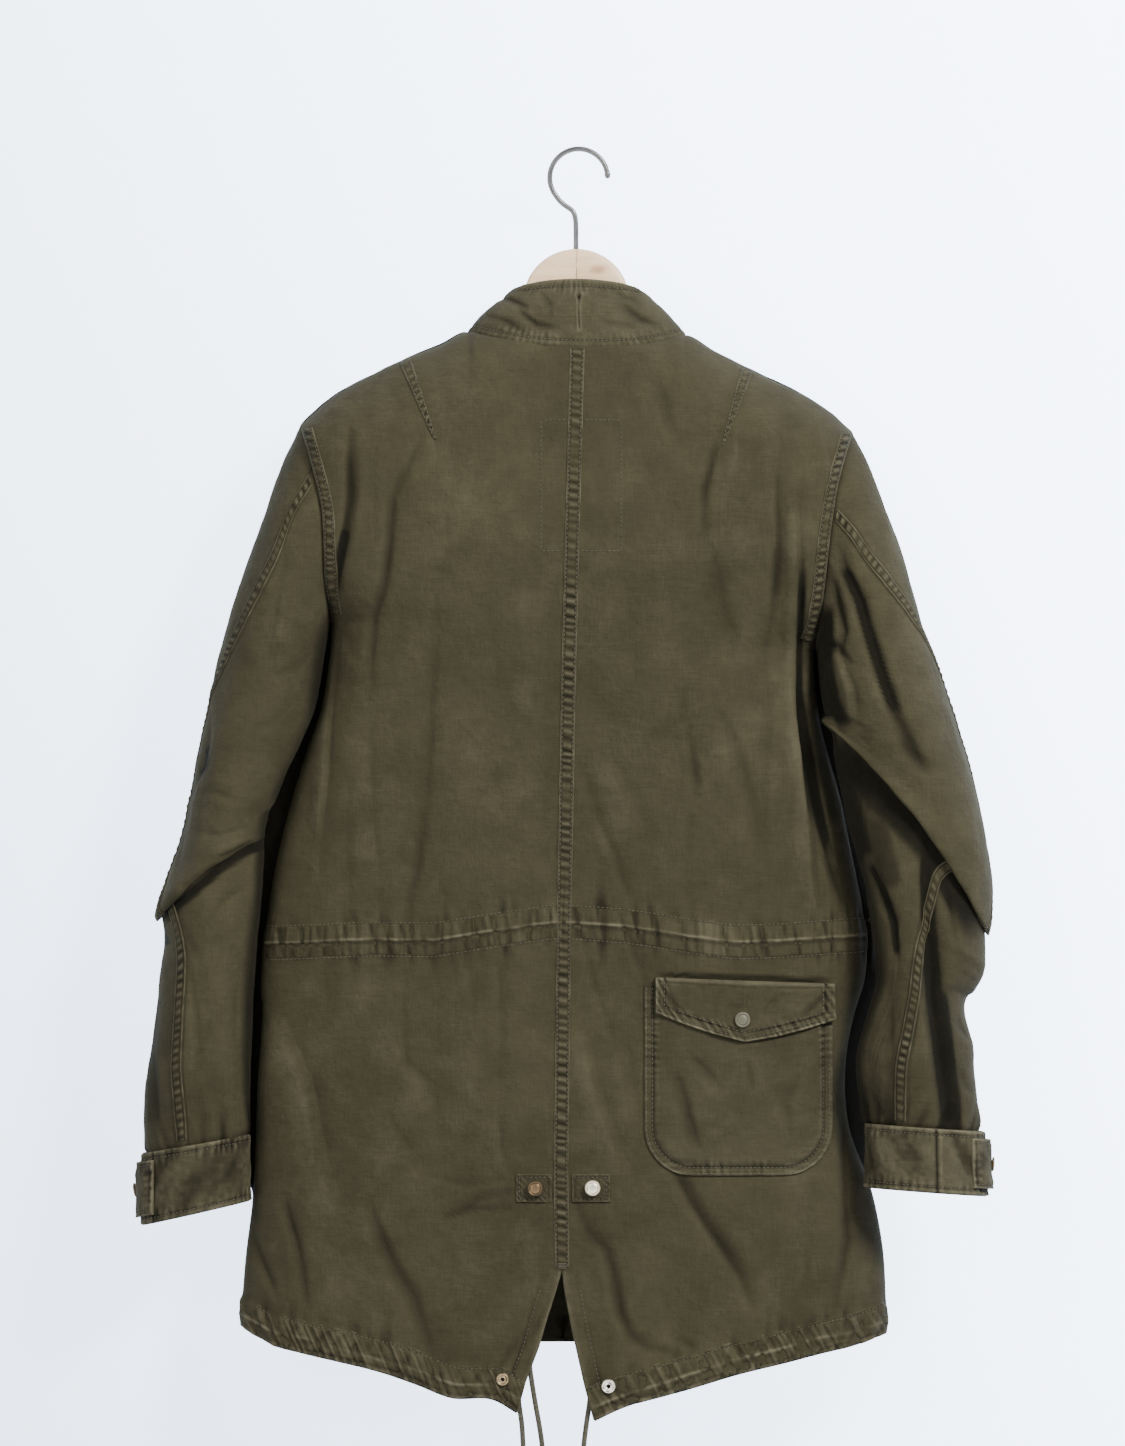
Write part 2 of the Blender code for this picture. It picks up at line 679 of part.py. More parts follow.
def build_cuffs(cloth, brass):
    """Each cuff is a ring; its tab wraps the outer end and stands off it, with a snap."""
    angles = np.radians(np.arange(0, 360, ARM_STEP))
    for side in SIDES:
        grid, normals, axis = cuff_grid(side, (0, 1), angles)
        add_cloth(f"cuff_{side}", grid + axis * GAP, normals, BAND, cloth, closed=True)
        around = np.radians(np.linspace(-TAB_REACH, TAB_BACK * TAB_REACH, TAB_COLUMNS))
        tab, out, _ = cuff_grid(side, TAB_ROWS, around)
        base = tab + out * (LIFT + tab_stand(around)[None, :, None])
        add_cloth(f"cuff_tab_{side}", base + out * PATCH, out, PATCH, cloth)
        at = np.radians(CUFF_SNAP[side] + np.array((-SPOT, 0, SPOT)))
        spot, face, _ = cuff_grid(side, (0.5,), at)
        stand = LIFT + tab_stand(at[1]) + PATCH + CUFF_SNAP_LIFT
        add_snap(f"cuff_snap_{side}", spot[0, 1] + face[0, 1] * stand, face[0, 1], SNAP - 1, brass)


def tab_stand(around):
    """The tab's ends lie on the cuff and its middle stands off it."""
    return TAB_STAND * np.cos(around * 90 / TAB_REACH)


def add_snap(name, place, direction, diameter, material):
    """A snap cap turned about its axis: a low dome with a rolled rim, standing on `place`."""
    radius, height = diameter / 2, diameter * SNAP_HEIGHT
    mesh = bpy.data.meshes.new(name)
    edges = [(i, i + 1) for i in range(len(SNAP_PROFILE) - 1)]
    points = [(out * radius * MM, 0, up * height * MM) for out, up in SNAP_PROFILE]
    mesh.from_pydata(points, edges, [])
    mesh.materials.append(material)
    obj = bpy.data.objects.new(name, mesh)
    bpy.data.collections[COLLECTION].objects.link(obj)
    screw = obj.modifiers.new("turn", "SCREW")
    screw.steps = screw.render_steps = SNAP_TURN
    screw.use_merge_vertices = True
    screw.merge_threshold = 0.00001
    screw.use_smooth_shade = True
    turn = Vector((0, 0, 1)).rotation_difference(Vector(direction))
    obj.matrix_world = Matrix.Translation(Vector(place) * MM) @ turn.to_matrix().to_4x4()


def build_collar(surfaces, material):
    """A stand from the neckline up, leaning in, open at the centre front."""
    neck = SHARES <= NECK_SHARE

    def run(side, face, outward):
        points, normals = (grid[0, neck] for grid in surfaces[side, face])
        share = SHARES[neck] / NECK_SHARE
        return [g if outward else g[::-1] for g in (points, normals, share)]

    stretches = [
        (*run("left", FRONT, True), -1, FRONT),
        (*run("left", BACK, False), -1, BACK),
        (*run("right", BACK, True), 1, BACK),
        (*run("right", FRONT, False), 1, FRONT),
    ]
    lower, rim, upper = [], [], []
    for number, (points, normals, share, sign, face) in enumerate(stretches):
        keep = slice(0 if number == 0 else 1, None)
        across = np.sqrt(1 - share**2)
        far = COLLAR_TOP_HEIGHT["back" if face == BACK else "front"]
        z = COLLAR_TOP_HEIGHT["side"] + (far - COLLAR_TOP_HEIGHT["side"]) * across**COLLAR_DIP
        x = sign * share * COLLAR_TOP["half_width"] + COLLAR_X
        upper.append(np.stack([x, face * across * COLLAR_TOP[face], z], axis=-1)[keep])
        lower.append(points[keep])
        rim.append(normals[keep])
    lower, rim, upper = (np.concatenate(part) for part in (lower, rim, upper))
    rows = np.linspace(0, 1, COLLAR_ROWS)[:, None, None]
    grid = lower + (upper - lower) * rows
    grid = grid + COLLAR_SWELL * np.sin(np.pi * rows) * unit(grid * (1, 1, 0))
    grid[:, 0, 0] -= GAP
    grid[:, -1, 0] += GAP
    normals = grid_normals(grid, grid * (1, 1, 0))
    normals[0] = rim
    add_cloth("collar", grid, normals, (CLOTH, BAND, BAND, BAND), material, gap=GAP)


def build_placket(surfaces, cloth, brass):
    """A strip over the front opening, made from both fronts' points and moved out."""
    columns = []
    for at in (-PLACKET_SHARE, PLACKET_CENTRE, PLACKET_SHARE):
        side = "left" if at < 0 else "right"
        down = panel_rows(side)[1:].copy()
        down[-1] = PLACKET_END
        share = np.full_like(down, abs(at))
        columns.append(on_panel(surfaces, side, FRONT, share, down))
    points = np.stack([points for points, _ in columns], axis=1)
    normals = np.stack([normals for _, normals in columns], axis=1)
    add_cloth("placket", points + normals * (LIFT + PATCH), normals, PATCH, cloth)
    for number, z in enumerate(PLACKET_SNAPS, start=1):
        share, fall = shares_of("right", FRONT, np.array([PLACKET_SNAP_X]), np.array([z]))
        place, out = on_panel(surfaces, "right", FRONT, share, fall)
        stand = 2 * LIFT + PATCH
        add_snap(f"placket_snap_{number}", place[0] + out[0] * stand, out[0], SNAP, brass)


def patch_grid(surfaces, side, left, right, top, bottom, counts):
    """Points and normals of a patch on the back, given by x and height, and its own shares."""
    across, fall = np.meshgrid(*(np.linspace(0, 1, count) for count in counts))
    x = left + (right - left) * across
    z = top + (bottom - top) * fall
    return (*on_back(surfaces, side, x, z), across, fall)


def build_pocket(surfaces, cloth, brass):
    """The bag swells between its edges, and the pointed flap lies over its mouth."""
    corners = (POCKET[key] for key in ("left", "right", "top", "bottom"))
    points, normals, across, fall = patch_grid(surfaces, "right", *corners, POCKET_GRID)
    bag = points + normals * (POCKET["lift"] + PATCH + bag_swell(across, fall))[..., None]
    add_cloth("pocket_bag", bag, normals, PATCH, cloth)

    across, fall = np.meshgrid(*(np.linspace(0, 1, count) for count in FLAP_GRID))
    x = FLAP["left"] + (FLAP["right"] - FLAP["left"]) * across
    top = FLAP["top_left"] + (FLAP["top_right"] - FLAP["top_left"]) * across
    point = FLAP_POINT_DROP - FLAP_SIDE_DROP
    drop = FLAP_SIDE_DROP + point * (1 - abs(2 * across - 1))
    z = top - drop * fall
    points, normals = on_back(surfaces, "right", x, z)
    bag_across = ((x - POCKET["left"]) / (POCKET["right"] - POCKET["left"])).clip(0, 1)
    bag_fall = ((z - POCKET["top"]) / (POCKET["bottom"] - POCKET["top"])).clip(0, 1)
    lift = 2 * (LIFT + PATCH) + FLAP_CLEAR
    flap = points + normals * (lift + bag_swell(bag_across, bag_fall))[..., None]
    add_cloth("pocket_flap", flap, normals, PATCH, cloth)
    place, out = on_back(surfaces, "right", *(np.array([value]) for value in FLAP_SNAP))
    stand = lift + POCKET["bulge"] + LIFT
    add_snap("pocket_snap", place[0] + out[0] * stand, out[0], SNAP, cloth)


def bag_swell(across, fall):
    """The bag's rise over the panel: nothing at its edges, full over most of its middle."""
    edges = (1 - (2 * across - 1) ** SWELL_POWER) * (1 - (2 * fall - 1) ** SWELL_POWER)
    return POCKET["bulge"] * edges


def build_back_trim(surfaces, cloth, brass):
    for name, side, *corners in VENT_TABS:
        points, normals, _, _ = patch_grid(surfaces, side, *corners, TAB_GRID)
        add_cloth(name, points + normals * (LIFT + PATCH), normals, PATCH, cloth)
    for name, side, x, z, diameter, stand in BACK_SNAPS:
        place, out = on_back(surfaces, side, np.array([x]), np.array([z]))
        add_snap(name, place[0] + out[0] * (stand + LIFT), out[0], diameter, brass)


def arm_top(side, x):
    """Height of the hanger's top: the dome over the neck, then under the shoulder seam."""
    reach = edge_x(side, TOP[0, 1]) - centre_x(side, BACK, TOP[0, 1])

    def under_seam(x):
        share = (x - centre_x(side, BACK, TOP[0, 1])) / reach
        return top_line(side, BACK, share) - ARM_DROP

    away = abs(x - DOME_X)
    dome = DOME_TOP - DOME_RADIUS + np.sqrt(np.clip(DOME_RADIUS**2 - away**2, 0, None))
    out = np.append(NECK_WOOD[:, 0], ARM_FROM)
    heights = np.append(NECK_WOOD[:, 1], under_seam(SIDES[side] * ARM_FROM))
    neck = np.interp(away, out, heights)
    arm = under_seam(x)
    return np.where(away < DOME_RADIUS * DOME_REACH, dome, np.where(away < ARM_FROM, neck, arm))


def build_hanger(wood, steel):
    """Two mirrored halves glued at the centre: each a flat outline with rounded edges."""
    for side, sign in SIDES.items():
        centre = centre_x(side, BACK, TOP[0, 1])
        end = centre + (edge_x(side, TOP[0, 1]) - centre) * ARM_END_SHARE
        start = DOME_X + sign * GAP / 2
        along = np.linspace(0, 1, HANGER_SECTIONS)
        x = start + (end - start) * along
        top = arm_top(side, x)
        height = ARM_HEIGHT["centre"] + (ARM_HEIGHT["end"] - ARM_HEIGHT["centre"]) * along
        rounding = np.clip((along - TIP_FROM) / (1 - TIP_FROM), 0, 1)
        tip = np.sqrt(np.clip(1 - rounding**2, TIP_LEAST, 1))
        thin = TIP_THIN + (1 - TIP_THIN) * tip
        angles = np.radians(np.arange(0, 360, SECTION_STEP) + SECTION_STEP / 2)
        wide = WOOD_THICKNESS / 2 * squared(np.cos(angles), SECTION_WIDE)
        tall = squared(np.sin(angles), SECTION_TALL)
        grid = np.zeros((HANGER_SECTIONS, len(angles), 3))
        grid[..., 0] = x[:, None]
        grid[..., 1] = np.outer(thin, wide)
        grid[..., 2] = (top - height * tip / 2)[:, None] + np.outer(height * tip / 2, tall)
        add_loft(f"hanger_{side}", grid, wood)
    add_wire("hook", hook_route(), HOOK_WIRE, steel)


def squared(wave, power):
    """A sine or cosine pushed out towards a square: its size to the power, with its sign."""
    return np.sign(wave) * abs(wave) ** power


def add_loft(name, grid, material):
    """A solid through closed sections, with flat ends."""
    rows, columns = grid.shape[:2]
    faces = list(grid_faces(rows, columns, True))
    faces += [np.arange(columns)[::-1], np.arange(columns) + (rows - 1) * columns]
    obj = add_mesh(name, grid.reshape(-1, 3), faces, material)
    obj.data.shade_smooth()
    obj.data.set_sharp_from_angle(angle=math.radians(50))
    return obj


def hook_route():
    """Three quarters of a circle, then a small reverse bend into the straight stem."""
    centre = np.array((HOOK_X, 0, -HOOK_RADIUS + HOOK_WIRE / 2))
    turn = np.radians(np.linspace(*HOOK_ARC))
    circle = centre + HOOK_RADIUS * np.stack([np.cos(turn), 0 * turn, np.sin(turn)], axis=-1)
    start, end = circle[-1], np.array((STEM_X, 0, STEM_TOP))
    t = np.linspace(0, 1, 9)[1:, None]
    bend = (
        (1 - t) ** 3 * start
        + 3 * t * (1 - t) ** 2 * (start + HOOK_LEAVE)
        + 3 * t**2 * (1 - t) * (end - HOOK_ARRIVE)
        + t**3 * end
    )
    return np.concatenate([circle, bend, ((STEM_X, 0, DOME_TOP + GAP),)])


def add_wire(name, route, diameter, material, resolution=3):
    """A round wire or cord with closed ends along a run of points."""
    curve = bpy.data.curves.new(name, "CURVE")
    curve.dimensions = "3D"
    curve.bevel_depth = diameter / 2 * MM
    curve.bevel_resolution = resolution
    curve.use_fill_caps = True
    spline = curve.splines.new("POLY")
    spline.points.add(len(route) - 1)
    for point, place in zip(spline.points, route):
        point.co = (*(place * MM), 1)
    curve.materials.append(material)
    obj = bpy.data.objects.new(name, curve)
    bpy.data.collections[COLLECTION].objects.link(obj)
    return obj


def cord_route(stops):
    """Evenly spaced points on the smooth curve through a cord's stops."""
    stops = np.array(stops, dtype=float)
    along = np.concatenate([[0], np.cumsum(np.linalg.norm(np.diff(stops, axis=0), axis=1))])
    at = np.linspace(0, along[-1], int(along[-1] / CORD_STEP) + 1)
    return np.stack([smooth(at, along, stops[:, axis]) for axis in range(3)], axis=-1)


def build_cords(material):
    for name, stops in CORDS.items():
        route = cord_route(stops)
        add_wire(name, route, CORD, material, resolution=2)
        ball = bmesh.new()
        bmesh.ops.create_uvsphere(ball, u_segments=KNOT_TURN[0], v_segments=KNOT_TURN[1], radius=1)
        centre = Vector(route[-1]) - Vector((0, 0, KNOT[2] + GAP))
        ball.transform(Matrix.Translation(centre * MM) @ Matrix.Diagonal((*KNOT, 1 / MM)) * MM)
        mesh = bpy.data.meshes.new(name.replace("drawcord", "knot"))
        ball.to_mesh(mesh)
        ball.free()
        mesh.materials.append(material)
        obj = bpy.data.objects.new(mesh.name, mesh)
        bpy.data.collections[COLLECTION].objects.link(obj)


def main():
    clear_scene()
    collection = bpy.data.collections.new(COLLECTION)
    bpy.context.scene.collection.children.link(collection)
    olive = principled("olive_cloth", OLIVE, 0.86)
    trim = principled("olive_trim", OLIVE_WORN, 0.84)
    wood = principled("pale_wood", WOOD, 0.45)
    steel = principled("hook_steel", STEEL, 0.28, 1.0)
    brass = principled("snap_brass", BRASS, 0.38, 1.0)
    surfaces = build_panels(olive)
    build_sleeves(surfaces, olive)
    build_cuffs(trim, brass)
    build_collar(surfaces, trim)
    build_placket(surfaces, trim, brass)
    build_pocket(surfaces, trim, brass)
    build_back_trim(surfaces, trim, brass)
    build_hanger(wood, steel)
    build_cords(trim)


main()
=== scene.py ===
"""A fishtail parka on a wooden hanger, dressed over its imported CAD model.

Every piece is worked out in the frame of the model: metres, +Z up, the origin at the inner
top of the hook, the coat's back towards -Y. "Left" and "right" are as seen from behind, so
left is -X. The tables are in millimetres.
"""

import math

import bpy
import numpy as np
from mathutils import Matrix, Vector


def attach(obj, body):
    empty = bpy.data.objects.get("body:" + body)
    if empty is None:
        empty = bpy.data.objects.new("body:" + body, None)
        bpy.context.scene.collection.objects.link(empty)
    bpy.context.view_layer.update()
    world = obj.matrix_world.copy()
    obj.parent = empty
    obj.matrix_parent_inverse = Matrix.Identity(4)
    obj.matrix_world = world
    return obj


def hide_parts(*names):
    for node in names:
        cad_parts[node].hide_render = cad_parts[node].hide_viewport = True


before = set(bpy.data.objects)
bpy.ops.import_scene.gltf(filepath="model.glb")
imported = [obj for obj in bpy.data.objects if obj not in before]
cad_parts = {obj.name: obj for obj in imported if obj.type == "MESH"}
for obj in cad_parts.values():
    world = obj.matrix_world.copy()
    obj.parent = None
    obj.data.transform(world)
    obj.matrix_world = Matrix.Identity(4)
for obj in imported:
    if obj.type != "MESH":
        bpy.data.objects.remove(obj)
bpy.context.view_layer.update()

bl_info = {
    "name": "Fishtail Parka",
    "version": (1, 0, 0),
    "blender": (4, 5, 0),
    "location": "View3D > Sidebar > Parka",
    "description": "Dresses a hanging fishtail parka: cloth, seams, snaps, hanger and stage",
    "category": "Add Mesh",
}

MM = 0.001
BODY = "root"
BACK, FRONT = -1, 1
SIDES = {"left": -1, "right": 1}
WORD = {BACK: "back", FRONT: "front"}

# thickness of a patch of cloth, and how far a doubled band's inside lies below its plain form
PATCH = 1.4
BAND = 2.2
# columns and rows of a panel; columns of an under and an upper sleeve, and rows from ring to ring
PANEL_COUNTS = {BACK: (138, 262), FRONT: (80, 148)}
SLEEVE_COUNTS = (70, 110, 12)

# ---- the coat's form
NECK_SHARE = 0.39
NECK_DEPTH = {BACK: 42, FRONT: 30}
SHOULDER_ROUND = 60
CROWN_ROWS = 26
PANEL_FALL = 790
ARMHOLE_DEPTH = 40
UNDERARM = {"left": -361, "right": -381}
FRONT_ROLL = 0.95
ARM_SEAM = {"left": 60, "right": 75}

# share across, back left, back right, front left, front right: heights of the top line
TOP = np.array((
    (0, -151, -151, -205, -205), (0.13, -149.5, -150.5, -201, -202), (0.26, -144.5, -148, -188, -190),
    (0.34, -140.5, -144, -165, -168), (0.39, -138, -141, -138, -141),
    (0.5, -148.5, -153.3, -148.5, -153.3), (0.6, -157, -163.7, -157, -163.7),
    (0.7, -166.5, -174.5, -166.5, -174.5), (0.8, -177.5, -184.5, -177.5, -184.5),
    (0.9, -191, -197.5, -191, -197.5), (1, -210.4, -216, -210.4, -216),
))
# share across, back left, back right, front left, front right: heights of the hem
HEM = np.array((
    (0, -966, -972, -915, -915), (0.1, -955.5, -962.5, -915, -915), (0.25, -954, -953, -914, -914),
    (0.38, -944, -945, -913, -913), (0.5, -935.5, -937, -912, -912), (0.68, -926, -927, -910, -911),
    (0.8, -920, -920, -908, -909), (0.9, -914, -914.5, -905, -908), (1, -901, -906, -901, -906),
))
COLUMN = {(BACK, "left"): 1, (BACK, "right"): 2, (FRONT, "left"): 3, (FRONT, "right"): 4}
# height, x of the armhole line and, below the underarm, of the side fold
EDGE = {
    "left": np.array((
        (-210.4, -213.5), (-232, -207), (-256, -200.5), (-271, -197.2), (-300, -195.3), (-338, -194),
        (-361, -190), (-398, -192.3), (-431, -198.5), (-455, -207), (-498, -220), (-559, -234.5),
        (-609, -241.5), (-637, -244), (-660, -243), (-715, -246.3), (-759, -247.7), (-807, -250.3),
        (-845, -255), (-901, -259.3),
    )),
    "right": np.array((
        (-216, 210.4), (-235, 204.5), (-253, 199.7), (-290, 193.5), (-334, 188.6), (-353, 186),
        (-381, 181), (-407, 181.5), (-439, 185.5), (-470, 193.5), (-494, 200.3), (-533, 208.5),
        (-559, 213.8), (-583, 218.9), (-609, 221.5), (-636, 219.5), (-661, 212), (-700, 205), (-745, 207),
        (-801, 226), (-834, 232.6), (-906, 236.8),
    )),
}
# height, x of the centre seam and, below the vent, of each tail's inner edge
CENTRE = {
    (BACK, "left"): np.array((
        (-151, -0.8), (-303, -5), (-421, -8), (-589, -11.1), (-781, -13.4), (-857, -12.5), (-871, -16.5),
        (-898, -25), (-916, -30), (-942, -40), (-966, -46.5),
    )),
    (BACK, "right"): np.array((
        (-151, -0.8), (-303, -5), (-421, -8), (-589, -11.1), (-781, -13.4), (-857, -12.5), (-869, -11.5),
        (-904, -5), (-945, 4.2), (-972, 11.5),
    )),
    (FRONT, "left"): np.array(((-205, -2), (-915, -12))),
    (FRONT, "right"): np.array(((-205, -2), (-915, -12))),
}
# height, depth of the back, depth of the front
DEPTH = np.array((
    (-138, 44, 36), (-210, 48, 42), (-300, 53, 46), (-400, 51, 46), (-500, 47, 43), (-606, 42, 39),
    (-700, 46, 42), (-800, 49, 45), (-915, 52, 46), (-972, 54, 46),
))
VENT_TOP = -857

# Rings of each sleeve below the armhole: outer x, z, inner x, z, depth front to back, middle y,
# bow of the ring's middle, angle of the back seam from the outer end.
SLEEVE = {
    "left": np.array((
        (-228, -243, -191.6, -368, 86, -1, 0, 61), (-242, -280, -193.5, -377, 90, -2, 0, 60),
        (-254, -314, -195.8, -390, 93, -3, 0, 54), (-265, -349, -199.2, -409, 94, -4, 0, 44),
        (-275.8, -389, -204, -431, 94, -5, 0, 28), (-284.5, -425, -213.5, -455, 94, -6, 0, 8),
        (-291.4, -458, -224, -479, 93, -7, 0, -6), (-298, -491, -231.5, -498, 92, -8, 0, -10),
        (-304, -522, -236.5, -506, 92, -8, 0, -6), (-314.5, -555, -238.5, -515, 95, -9, 3, 6),
        (-324.4, -582, -240, -521, 98, -10, 5, 22), (-323, -590, -241, -525, 92, -10, 5, 28),
        (-320.5, -582, -242.5, -530, 85, -10, 4, 36), (-317.8, -609, -243.5, -566, 86, -11, 2, 48),
        (-321, -632, -247.5, -606, 84, -11, 0, 58), (-325.5, -668, -250.8, -650, 80, -12, 0, 62),
        (-331, -707, -252.2, -692, 77, -12, 0, 66), (-333, -740, -252.2, -728, 72, -12, 0, 72),
        (-333.2, -768, -252.6, -754, 66, -12, 0, 75),
    )),
    "right": np.array((
        (223, -243, 183.6, -388, 87, -2, 0, 72), (236, -275, 184.3, -398, 91, -4, 0, 65),
        (248, -309, 185.2, -408, 94, -6, 0, 53), (260, -345, 186.2, -418, 96, -9, 0, 38),
        (272, -384, 187.3, -427, 98, -12, 2, 12), (287, -428, 189, -433, 100, -15, 6, -8),
        (303, -482, 188.5, -434, 100, -18, 8, -14), (312.5, -530, 187.5, -435, 98, -21, 10, -14),
        (317, -568, 186.5, -436, 94, -23, 11, -8), (314, -601, 186.5, -438, 90, -25, 11, 16),
        (311, -592, 193.5, -443, 72, -25, 12, 58), (312.5, -612, 199, -474, 74, -26, 9, 76),
        (311, -630, 208.5, -519, 76, -27, 5, 84), (304, -643, 219.5, -562, 75, -28, 2, 90),
        (296.5, -650, 226.5, -603, 76, -29, 0, 94), (296, -662, 229, -636, 78, -30, 0, 100),
        (302, -684, 221, -668, 76, -31, 0, 104), (303, -705, 215, -696, 74, -31, 0, 106),
        (306, -730, 216.5, -722, 70, -30, 0, 110), (308.5, -751, 220.5, -745, 65, -30, 0, 115),
    )),
}
CUFF_END = {"left": (-333.5, -823.5, -252.6, -805, 64, -12), "right": (311.5, -801, 218.5, -794, 64, -30)}
TAB_REACH = 52
TAB_STAND = 3.2


def runs(count, *rows):
    """Rows of count settings, then x and height of each point of a route: the route comes first."""
    return [(np.reshape(row[count:], (-1, 2)), *row[:count]) for row in rows]


# side, face, x, top, bottom, half width, height
FOLDS = (
    ("left", BACK, -150, -215, -400, 26, -4), ("left", BACK, -176, -300, -560, 20, 5),
    ("left", BACK, -95, -610, -900, 34, -4), ("left", BACK, -150, -640, -930, 26, 5),
    ("left", BACK, -215, -760, -905, 22, 4), ("right", BACK, 150, -240, -420, 16, -5),
    ("right", BACK, 168, -270, -560, 18, 5.5), ("right", BACK, 30, -835, -960, 22, 5),
    ("right", BACK, 78, -800, -960, 22, -5), ("right", BACK, 200, -800, -905, 20, 4.5),
    ("left", FRONT, -140, -300, -600, 30, 5), ("left", FRONT, -110, -640, -915, 30, 5),
    ("left", FRONT, -190, -680, -905, 24, -4), ("right", FRONT, 130, -320, -600, 30, 5),
    ("right", FRONT, 95, -650, -915, 32, -4), ("right", FRONT, 175, -660, -905, 26, 5),
)

# ---- seams and creases
# x, height of the pale ridge along the middle of the waist channel
WAIST = np.array((
    (-245, -607.8), (-209, -606.3), (-160, -604), (-110, -604.7), (-100, -602.8), (-68, -597.8),
    (-20, -591), (-5.7, -591), (35.6, -594), (61, -597.8), (85, -601.7), (119, -606.3), (152, -605.5),
    (185, -603.2), (222, -600.9),
))
